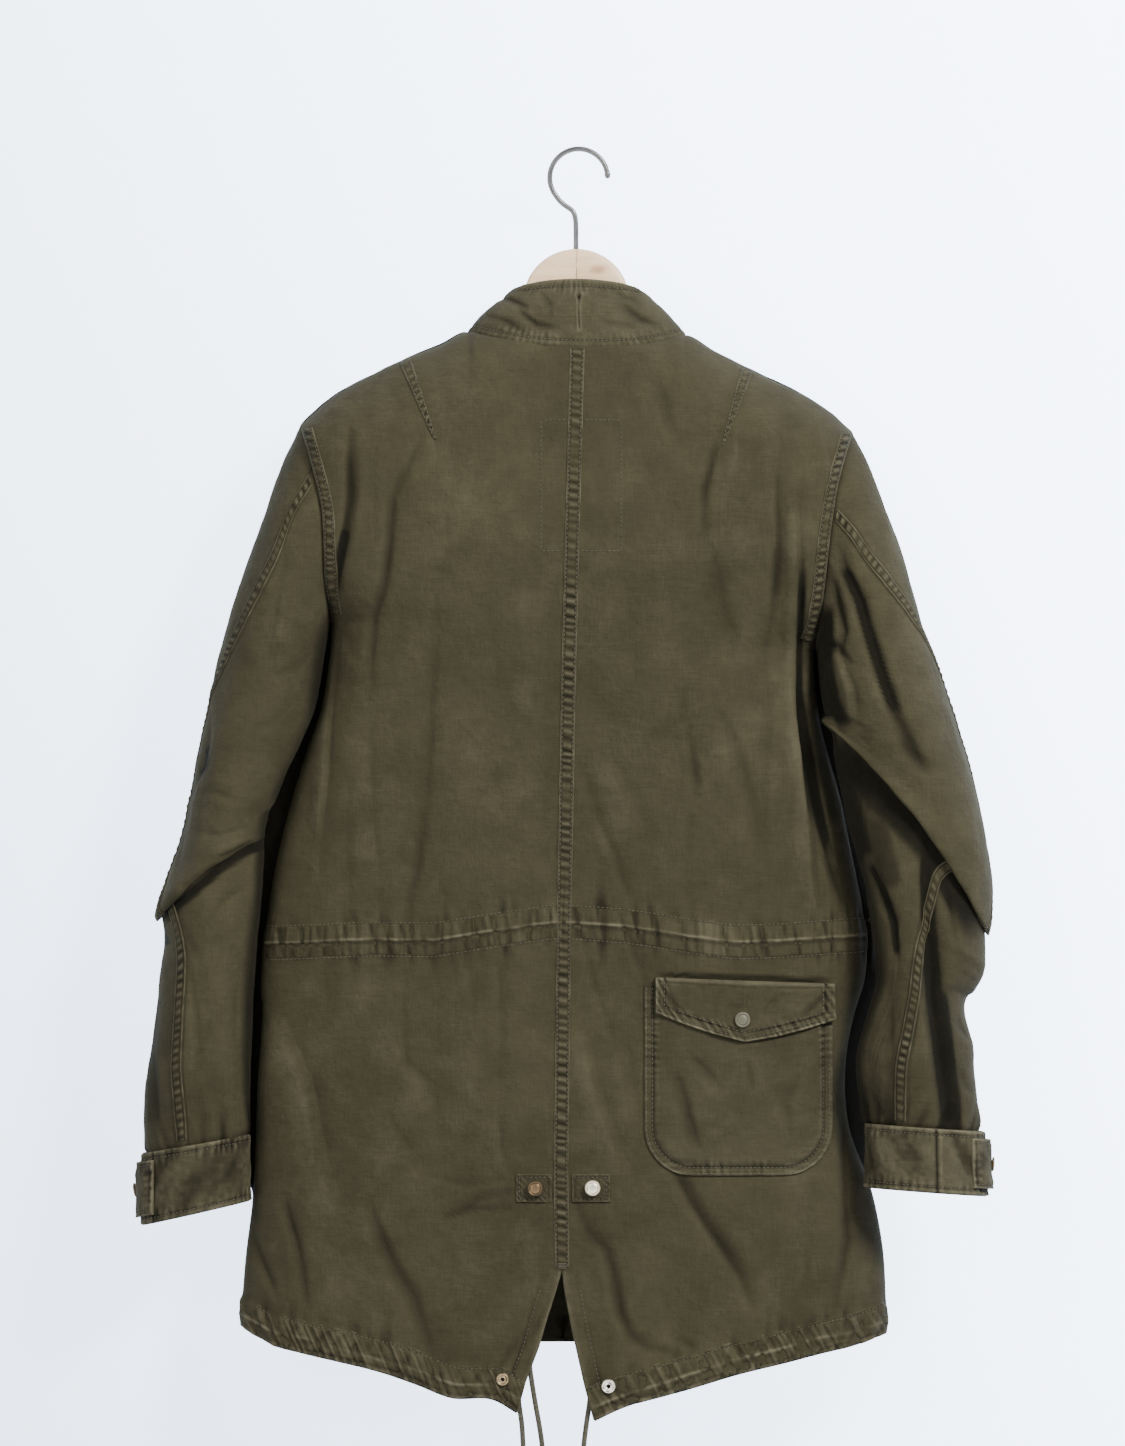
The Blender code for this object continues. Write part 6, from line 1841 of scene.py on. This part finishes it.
def cloth_material(name, colour, worn, pitch):
    """Washed olive cotton: mottled dye, paler where it is worn, painted shade darkening its hollows, folds
    and gaps, a fine twill.
    """
    recipe = Recipe(name)
    noise, mix = recipe.noise, recipe.mix
    wear, shade = recipe.attribute("wear"), recipe.attribute("shade")
    broad, mottle = noise(6), noise(34, 5, 0.62)
    fine, fleck = noise(240, 3, 0.6), noise(800, 2, 0.7)
    warp, weft = (noise(1, 2, 0.6, recipe.stretched(scale)) for scale in ((900, 900, 70), (70, 70, 900)))
    slub = warp + weft - 1
    tone = (broad - 0.5) * 1.1 + (mottle - 0.5) * 1.3 + slub * 0.55 + (fleck - 0.5) * 0.6 + 0.5
    base = mix(tone.held(), rgba(colour, 0.72), rgba(colour, 1.30))
    # paler where worn; on the placket's bottom the wear also carries painted light
    faded = (wear * (0.35 + 1.3 * fine) + slub * 0.08 + (mottle - 0.58) * 0.25).held()
    base = mix((faded * 0.95).held(), base, worn)
    # painted shade: the cloth darkens towards a dark copy of its colour in hollows, folds and gaps
    base = mix((shade * (0.75 + 0.5 * mottle)).held(), base, rgba(colour, 0.15))
    across, down = recipe.weave()
    turn = 2 * math.pi / (pitch * MM)
    twill = (across * turn + down * turn).sine()
    thread = (down * (turn * 1.7)).sine()
    grain = twill * 0.6 + thread * 0.4 + (fine - 0.5) * 2
    soft = recipe.bump(noise(120, 4, 0.62), 0.75, 0.0016)
    normal = recipe.bump(grain + slub * 0.6, 0.35, 0.00018, soft)
    return recipe.finish(
        Base_Color=base, Roughness=0.93 - 0.10 * faded + 0.04 * (mottle - 0.5), Normal=normal,
        Sheen_Weight=0.015, Sheen_Roughness=0.5, Sheen_Tint=(0.6, 0.56, 0.4, 1), Specular_IOR_Level=0.10,
    )


def thread_material(name):
    recipe = Recipe(name)
    tone = recipe.noise(300, 2)
    base = recipe.mix(tone, (0.058, 0.052, 0.032), (0.125, 0.115, 0.075))
    normal = recipe.bump(recipe.noise(2600), 0.3, 0.0002)
    return recipe.finish(Base_Color=base, Roughness=0.85 + 0.1 * tone, Normal=normal)


def cord_material(name):
    """Braided cord: two sets of strands crossing as they wind round it."""
    recipe = Recipe(name)
    turn, run = recipe.weave()
    turn, run = turn * (2 * math.pi * CORD_STRANDS), run * (2 * math.pi / CORD_PITCH)
    braid = (turn + run).sine() * (turn - run).sine()
    tone = recipe.noise(90, 4)
    mixed = (0.5 + 0.35 * braid + (tone - 0.5) * 0.9).held()
    base = recipe.mix(mixed, (0.045, 0.041, 0.025), (0.125, 0.112, 0.070))
    return recipe.finish(Base_Color=base, Roughness=0.9 - 0.1 * tone, Normal=recipe.bump(braid, 0.8, 0.0005))


def metal_material(name, bright, dark, roughness, tarnish, hole=0):
    """Stamped metal, darker in blotches; painted shade darkens it out over its rolled rim, leaving its dome
    bright.
    """
    recipe = Recipe(name)
    blotch, fine = recipe.noise(260, 4, 0.6), recipe.noise(2600)
    out = recipe.weave()[0]
    # painted shade over the rolled rim, darker from a little way out from the middle
    outer = ((out * 1000 - RIM_SHADE_FROM) * 1.1).held()
    mixed = ((blotch - 0.5) * 0.8 + tarnish + outer * 0.55 + (fine - 0.5) * 0.1).held()
    # a painted shadow fills a socket's hole with near black
    base = recipe.mix(((hole - out * 1000) * 4).held(), recipe.mix(mixed, bright, dark), HOLE_SHADE_COLOUR)
    normal = recipe.bump(fine, 0.12, 0.0001)
    rough, metal = roughness + 0.3 * mixed, 1 - 0.25 * mixed
    return recipe.finish(Base_Color=base, Roughness=rough, Metallic=metal, Normal=normal)


def painted_material(name, colour, metal):
    """Olive paint over a snap cap, rubbed through in small chips."""
    recipe = Recipe(name)
    chips = recipe.noise(700, 4, 0.7)
    rubbed = ((chips - 0.62) * 7).held()
    paint = recipe.mix(recipe.noise(150), rgba(colour, 0.75), rgba(colour, 1.35))
    base, normal = recipe.mix(rubbed, paint, metal), recipe.bump(chips, 0.25, 0.0001)
    rough, bare = 0.5 - 0.12 * rubbed, 0.15 + 0.6 * rubbed
    return recipe.finish(Base_Color=base, Roughness=rough, Metallic=bare, Normal=normal)


def wood_material(name, pale, dark, seed):
    """Varnished beech: long grain along the arm, short rays across it and a soft knot."""
    recipe = Recipe(name)
    stretched = recipe.stretched((6, 30, 60), seed)
    grain, fine = recipe.noise(3.2, 6, 0.6, stretched), recipe.noise(22, 4, 0.7, stretched)
    rays = recipe.noise(1, 2, vector=recipe.stretched((260, 700, 700), seed * 2))
    base = recipe.mix(((grain - 0.38) * 3).held(), rgba(pale, 1.06), dark)
    base = recipe.mix(((rays - 0.60) * 5).held() * 0.35, base, rgba(dark, 0.72))
    x, _, z = recipe.axes(recipe.place)
    across, up = (x - KNOT_AT[0]) * 130, (z - KNOT_AT[1]) * 240
    knot = (1 - (across * across + up * up + (fine - 0.5) * 1.5)).held()
    base = recipe.mix(knot * 0.65, base, (0.40, 0.17, 0.075))
    normal = recipe.bump(fine, 0.12, 0.0002)
    return recipe.finish(Base_Color=base, Roughness=0.34 + 0.14 * fine, Normal=normal, Coat_Roughness=0.25)


def steel_material(name):
    recipe = Recipe(name)
    drawn = recipe.noise(500)
    base = recipe.mix(recipe.noise(60, 4), (0.06, 0.057, 0.055), (0.21, 0.205, 0.20))
    rough, normal = 0.34 + 0.14 * drawn, recipe.bump(drawn, 0.08, 0.0001)
    return recipe.finish(Base_Color=base, Metallic=1, Roughness=rough, Normal=normal)


def wall_material(colour):
    """Pale matt wall that glows, with painted light making it brighter to the right and upwards, seen from
    its front only, so that it never hides the coat from behind.
    """
    recipe = Recipe("pale_wall")
    tone = recipe.noise(1.4)
    across, _, rising = recipe.axes(recipe.place)
    # painted light: the glow grows brighter to the right and upwards, as if lit from the upper right
    bright = (across * 0.62 + rising * 0.25 + 0.685).held()
    paint = recipe.node("BsdfPrincipled", {}, {
        "Base Color": recipe.mix(tone, rgba(colour, 0.985), rgba(colour, 1.015)),
        "Roughness": 0.92 + 0.05 * (tone - 0.5),
        "Emission Color": recipe.mix(bright, rgba(colour, 0.4), rgba(colour, 1.6)),
        "Emission Strength": WALL_GLOW,
    })
    behind = recipe.node("NewGeometry", output=6)
    clear = recipe.node("BsdfTransparent")
    surface = recipe.node("MixShader", {}, {0: behind, 1: paint, 2: clear})
    recipe.node("OutputMaterial", {}, {"Surface": surface})
    return recipe.material


def floor_material(colour):
    recipe = Recipe("pale_floor")
    tone = recipe.noise(2, 4)
    base = recipe.mix(tone, rgba(colour, 0.97), rgba(colour, 1.02))
    rough = 0.75 + 0.1 * (tone - 0.5)
    glow = {"Emission_Color": base, "Emission_Strength": FLOOR_GLOW}
    return recipe.finish(Base_Color=base, Roughness=rough, **glow)


# ---- settings
BACK_Y = -0.045
BARTACK_HALF = 5.2
BARTACK_X = -12.5
BARTACK_THREAD = {"length": 9, "gap": 0.4, "radius": 0.3}
TAIL_STITCH = 12.4
SENSOR = 36
VIEW_END = 80
WALL_HALF = 3.2
WALL_TOP = 2.2
FLOOR_HALF = 6
LAMP_TARGET = Vector((-0.01, 0, -0.5))
SKY = (0.93, 0.96, 1, 1)
SKY_STRENGTH = 0.3
# name, place, diameter, which of the stage's lights it follows and its share of it
LAMPS = (
    ("key_light", (1.9, -2.2, 1.5), 0.9, "key", 1), ("fill_light", (-1.9, -2.5, 0.6), 2.2, "fill", 1),
    ("rear_light", (0.9, 2.6, 0.6), 1.8, "key", 0.5), ("rear_fill", (-1.6, 2.2, -0.2), 2, "key", 0.26),
)
PLACKET_X = 4
CAP_LIFT = {"placket": 3.4, "pocket": 6.3}
CAP_DIAMETER = 12
CUFF_CAP_DIAMETER = 11


def a_colour(name, text, default):
    return bpy.props.FloatVectorProperty(
        name=name, description=text, default=default, subtype="COLOR", size=3, min=0, max=1
    )


def a_number(name, text, default, **more):
    return bpy.props.FloatProperty(name=name, description=text, default=default, **more)


def a_length(name, text, default):
    return a_number(name, text, default, unit="LENGTH", precision=4)


class PARKA_PG_cloth(bpy.types.PropertyGroup):
    colour: a_colour("Cloth", "Colour of the olive cotton where it isn't worn", (0.05, 0.0442, 0.024))
    trim: a_colour("Trim", "Colour of the collar, cuffs and pocket", (0.052, 0.0463, 0.0258))
    worn: a_colour("Worn", "Colour of the cotton along its rubbed ridges", (0.150, 0.134, 0.084))
    weave: a_number("Weave", "Pitch of the twill, in millimetres", 0.75)


class PARKA_PG_hardware(bpy.types.PropertyGroup):
    brass: a_colour("Brass", "Rubbed brass of the snap caps", (0.42, 0.31, 0.15))
    wood: a_colour("Wood", "Pale beech of the hanger", (0.985, 0.72, 0.45))
    wood_grain: a_colour("Grain", "Darker grain of the hanger", (0.90, 0.60, 0.36))


class PARKA_PG_stage(bpy.types.PropertyGroup):
    distance: a_length("Distance", "From the camera to the coat's back", 14)
    frame_height: a_length("Frame height", "Height that the camera sees at the coat's back", 1.1062)
    centre_x: a_length("Centre across", "Middle of the view across", -0.01224)
    centre_z: a_length("Centre height", "Middle of the view up", -0.4387)
    wall_at: a_length("Wall", "Distance of the wall behind the hook", 0.060)
    floor_at: a_length("Floor", "Height of the floor", -1.42)
    wall: a_colour("Wall colour", "Paint of the wall", (0.70, 0.80, 0.97))
    floor: a_colour("Floor colour", "Paint of the floor", (0.78, 0.79, 0.80))
    key: a_number("Key light", "Power of the soft light at the right", 192, unit="POWER")
    fill: a_number("Fill light", "Power of the light at the left", 74, unit="POWER")


def materials(context):
    """Gives a material by its name, making it the first time."""
    cloth, hard = context.scene.parka_cloth, context.scene.parka_hardware
    makers = {
        "olive_cloth": (cloth_material, cloth.colour, cloth.worn, cloth.weave),
        "olive_trim": (cloth_material, cloth.trim, cloth.worn, cloth.weave),
        "olive_thread": (thread_material,),
        "olive_cord": (cord_material,),
        "aged_brass": (metal_material, hard.brass, (0.10, 0.07, 0.035), 0.36, 0.35),
        "dark_brass": (metal_material, (0.19, 0.125, 0.065), (0.05, 0.034, 0.02), 0.34, 0.40),
        "pale_metal": (metal_material, (0.70, 0.64, 0.52), (0.26, 0.21, 0.14), 0.42, 0.02),
        "socket_brass": (metal_material, (0.34, 0.26, 0.15), (0.07, 0.045, 0.025), 0.3, 0.3, 1.6),
        "socket_metal": (metal_material, (0.70, 0.66, 0.56), (0.26, 0.21, 0.14), 0.24, 0.1, 1.7),
        "painted_cap": (painted_material, (0.10, 0.095, 0.06), (0.30, 0.28, 0.22)),
        "beech_left": (wood_material, hard.wood, hard.wood_grain, 1.7),
        "beech_right": (wood_material, rgba(hard.wood, 0.93), rgba(hard.wood_grain, 0.9), 4.2),
        "hook_steel": (steel_material,),
    }

    def finish(name):
        maker, *values = makers[name]
        return bpy.data.materials.get(name + "_finish") or maker(name + "_finish", *values)

    return finish


def declare(piece, flat, area, bands=()):
    """Lists the bands sewn to a piece, leaving out the empty ones."""
    bands = [band for band in bands if band]


# ---- operators
class PARKA_OT_camera(bpy.types.Operator):
    """Set up the camera square to the coat's back"""

    bl_idname = "parka.camera"
    bl_label = "Camera"

    def execute(self, context):
        stage = context.scene.parka_stage
        data = bpy.data.cameras.new("camera")
        data.sensor_fit = "AUTO"
        data.sensor_width = SENSOR
        data.lens = SENSOR * stage.distance / stage.frame_height
        data.clip_end = VIEW_END
        data.dof.use_dof = False
        camera = bpy.data.objects.new("camera", data)
        camera.location = (stage.centre_x, BACK_Y - stage.distance, stage.centre_z)
        camera.rotation_euler = (math.pi / 2, 0, 0)
        context.scene.collection.objects.link(camera)
        context.scene.camera = camera
        return {"FINISHED"}


class PARKA_OT_cords(bpy.types.Operator):
    """Hang the three drawcord ends, each tied in a knot"""

    bl_idname = "parka.cords"
    bl_label = "Drawcords"

    def execute(self, context):
        build_cords(materials(context)("olive_cord"))
        return {"FINISHED"}


class PARKA_OT_panels(bpy.types.Operator):
    """Make the two backs and two fronts"""

    bl_idname = "parka.panels"
    bl_label = "Backs and fronts"

    def execute(self, context):
        cloth = materials(context)("olive_cloth")
        for side in SIDES:
            for face, counts in PANEL_COUNTS.items():
                points, base, wear, shade = body_grid(side, face, *counts)
                towards = np.array((0, face, 0))
                name = f"{WORD[face]}_{side}"
                u, v = base[..., 0], base[..., 2]
                piece = add_cloth(name + "_cloth", points, towards, cloth, u, v, wear, shade)
                stand_in(piece, name)
                bands = [maker(side, face, cloth) for maker in (armhole_band, waist_band, hem_band)]
                if face == BACK:
                    bands.append(dart_band(side, cloth))
                if name == "back_left":
                    bands.append(centre_band(cloth))
                declare(piece, *CUTS[name], bands)
        return {"FINISHED"}


class PARKA_OT_sleeves(bpy.types.Operator):
    """Make both sleeves, each cut in an under and an upper half"""

    bl_idname = "parka.sleeves"
    bl_label = "Sleeves"

    def execute(self, context):
        cloth = materials(context)("olive_cloth")
        for side in SIDES:
            seam, *halves = build_sleeve(side, cloth, *SLEEVE_COUNTS)
            for piece in halves:
                declare(piece, *CUTS[piece.name.replace("_cloth", "")], [seam])
                seam = None
        return {"FINISHED"}


class PARKA_OT_cuffs(bpy.types.Operator):
    """Make the cuffs and their tabs"""

    bl_idname = "parka.cuffs"
    bl_label = "Cuffs"

    def execute(self, context):
        trim = materials(context)("olive_trim")
        for side in SIDES:
            declare(build_cuff(side, trim), *CUTS["cuff"])
            declare(build_cuff_tab(side, trim), *CUTS["cuff_tab"])
        return {"FINISHED"}


class PARKA_OT_collar(bpy.types.Operator):
    """Make the stand collar with its buttonhole"""

    bl_idname = "parka.collar"
    bl_label = "Collar"

    def execute(self, context):
        declare(build_collar(materials(context)("olive_trim")), *CUTS["collar"])
        return {"FINISHED"}


class PARKA_OT_placket(bpy.types.Operator):
    """Make the strip over the front opening"""

    bl_idname = "parka.placket"
    bl_label = "Placket"

    def execute(self, context):
        declare(build_placket(materials(context)("olive_trim")), *CUTS["placket"])
        return {"FINISHED"}


class PARKA_OT_pocket(bpy.types.Operator):
    """Make the back pocket and its pointed flap"""

    bl_idname = "parka.pocket"
    bl_label = "Pocket"

    def execute(self, context):
        bag, flap = build_pocket(materials(context)("olive_trim"))
        declare(bag, *CUTS["pocket_bag"])
        declare(flap, *CUTS["pocket_flap"])
        return {"FINISHED"}


class PARKA_OT_tabs(bpy.types.Operator):
    """Make the two tabs above the vent"""

    bl_idname = "parka.tabs"
    bl_label = "Vent tabs"

    def execute(self, context):
        for piece in build_vent_tabs(materials(context)("olive_trim")):
            declare(piece, *CUTS["vent_tab"])
        return {"FINISHED"}


class PARKA_OT_snaps(bpy.types.Operator):
    """Set every snap cap on its cloth"""

    bl_idname = "parka.snaps"
    bl_label = "Snaps"

    def execute(self, context):
        metal = materials(context)
        finishes = {
            "vent_snap_left": "dark_brass",
            "vent_snap_right": "pale_metal",
            "tail_snap_left": "socket_brass",
            "tail_snap_right": "socket_metal",
        }
        for name, side, x, z, diameter, lift, kind in BACK_SNAPS:
            points, normals = on_panel(side, BACK, np.array([[x]]), np.array([[z]]))
            place, out = points[0, 0], normals[0, 0]
            build_snap(name, place + out * lift, out, diameter, kind, metal(finishes[name]))
        points, normals = on_panel("right", BACK, *(np.array([[at]]) for at in FLAP_SNAP))
        place, out = points[0, 0], normals[0, 0]
        place = place + out * CAP_LIFT["pocket"]
        build_snap("pocket_snap", place, out, CAP_DIAMETER, "cap", metal("painted_cap"))
        brass = metal("aged_brass")
        for number, z in enumerate(PLACKET_SNAPS, start=1):
            shares = body_shares("right", FRONT, np.array([[PLACKET_X]]), np.array([[z]]))
            out = body_normals("right", FRONT, *shares)[0, 0]
            place = body_point("right", FRONT, *shares)[0, 0] + out * CAP_LIFT["placket"]
            build_snap(f"placket_snap_{number}", place, out, CAP_DIAMETER, "cap", brass)
        for side, degrees in CUFF_SNAP.items():
            turn = np.radians(degrees + np.array((-8, 0, 8)))
            points, out = cuff_rings(side, np.array((0.4, 0.5, 0.6)), turn)
            stand = TAB_STAND * math.cos(math.radians(degrees * 90 / TAB_REACH)) + PATCH + 2
            place = points[1, 1] + out[1, 1] * stand
            build_snap(f"cuff_snap_{side}", place, out[1, 1], CUFF_CAP_DIAMETER, "cap", brass)
        return {"FINISHED"}


class PARKA_OT_hanger(bpy.types.Operator):
    """Make the wooden hanger and its wire hook"""

    bl_idname = "parka.hanger"
    bl_label = "Hanger"

    def execute(self, context):
        metal = materials(context)
        halves = build_hanger(metal("beech_left"))
        halves[1].data.materials[0] = metal("beech_right")
        build_hook(metal("hook_steel"))
        return {"FINISHED"}


class PARKA_OT_stitches(bpy.types.Operator):
    """Run the lines of thread along the seams"""

    bl_idname = "parka.stitches"
    bl_label = "Stitches"

    def execute(self, context):
        thread = materials(context)("olive_thread")
        sew_marks()
        for name, lines in THREADS.items():
            close = name.startswith("vent_bartack")
            build_stitches(name, lines, thread, **(BARTACK_THREAD if close else {}))
        return {"FINISHED"}


def sew_marks():
    """Stitches on the panels themselves: the label's outline, the tails' edges and the vent's top."""
    left, right, top, bottom = LABEL
    outline = ((left, top), (left, bottom), (right, bottom), (right, top), (left, top))
    for first in (3, 0, 1, 2):
        x, z = corners_route(outline[first : first + 2])
        for side in SIDES:
            here = SIDES[side] * (x - centre_x(side, BACK, z)) > 6
            if here.sum() > 8:
                sew("label_outline", *on_panel(side, BACK, x[here], z[here]))
    for side, sign in SIDES.items():
        z = np.linspace(VENT_TOP - 14, CENTRE[BACK, side][-1, 0] + 3, 160)
        sew("tail_" + side, *on_panel(side, BACK, centre_x(side, BACK, z) + sign * TAIL_STITCH, z))
    x = np.linspace(-BARTACK_HALF, BARTACK_HALF, 12) + BARTACK_X
    for rise in np.arange(0.4, 4.4, 1.2):
        points, normals = on_panel("left", BACK, np.full(12, -14), np.full(12, VENT_TOP + 1 + rise))
        points[:, 0] = x
        sew("vent_bartack", points + normals * 1.4, normals)


def flat_square(name, corners, material):
    """A surface of the stage from its four corners, in metres."""
    return new_object(name, np.array(corners) / MM, [(0, 1, 2, 3)], material, False)


class PARKA_OT_stage(bpy.types.Operator):
    """Add the wall, the floor and the soft lights"""

    bl_idname = "parka.stage"
    bl_label = "Stage"

    def execute(self, context):
        stage = context.scene.parka_stage
        square = ((-1, 0), (1, 0), (1, 1), (-1, 1))
        tall = WALL_TOP - stage.floor_at
        corners = [(x * WALL_HALF, stage.wall_at, stage.floor_at + y * tall) for x, y in square]
        wall = flat_square("wall", corners, wall_material(stage.wall))
        corners = [(x * FLOOR_HALF, (2 * y - 1) * FLOOR_HALF, stage.floor_at) for x, y in square]
        floor = flat_square("floor", corners, floor_material(stage.floor))
        wall.visible_diffuse = floor.visible_diffuse = False
        for name, place, size, source, share in LAMPS:
            data = bpy.data.lights.new(name, "AREA")
            data.shape = "DISK"
            data.size = size
            data.energy = getattr(stage, source) * share
            lamp = bpy.data.objects.new(name, data)
            lamp.location = place
            lamp.rotation_euler = (LAMP_TARGET - lamp.location).to_track_quat("-Z", "Y").to_euler()
            context.scene.collection.objects.link(lamp)
        world = bpy.data.worlds.new("studio")
        world.use_nodes = True
        background = world.node_tree.nodes["Background"]
        background.inputs["Color"].default_value = SKY
        background.inputs["Strength"].default_value = SKY_STRENGTH
        context.scene.world = world
        return {"FINISHED"}


class PARKA_PT_panel(bpy.types.Panel):
    """Lists the parka's settings and the buttons that make its pieces"""

    bl_idname = "PARKA_PT_panel"
    bl_label = "Parka"
    bl_space_type = "VIEW_3D"
    bl_region_type = "UI"
    bl_category = "Parka"

    def draw(self, context):
        for settings in (context.scene.parka_cloth, context.scene.parka_hardware, context.scene.parka_stage):
            box = self.layout.box()
            for key in settings.__annotations__:
                box.prop(settings, key)
        for operator in OPERATORS:
            self.layout.operator(operator.bl_idname)


OPERATORS = (
    PARKA_OT_camera, PARKA_OT_cords, PARKA_OT_panels, PARKA_OT_sleeves, PARKA_OT_cuffs, PARKA_OT_collar,
    PARKA_OT_placket, PARKA_OT_pocket, PARKA_OT_tabs, PARKA_OT_snaps, PARKA_OT_hanger,
    PARKA_OT_stitches, PARKA_OT_stage,
)
GROUPS = {"parka_cloth": PARKA_PG_cloth, "parka_hardware": PARKA_PG_hardware, "parka_stage": PARKA_PG_stage}


def register():
    for kind in (*GROUPS.values(), *OPERATORS, PARKA_PT_panel):
        bpy.utils.register_class(kind)
    for name, group in GROUPS.items():
        setattr(bpy.types.Scene, name, bpy.props.PointerProperty(type=group))


def unregister():
    for name in GROUPS:
        delattr(bpy.types.Scene, name)
    for kind in (PARKA_PT_panel, *reversed(OPERATORS), *GROUPS.values()):
        bpy.utils.unregister_class(kind)


def main():
    register()
    for operator in OPERATORS:
        group, name = operator.bl_idname.split(".")
        getattr(getattr(bpy.ops, group), name)()


if __name__ == "__main__":
    main()
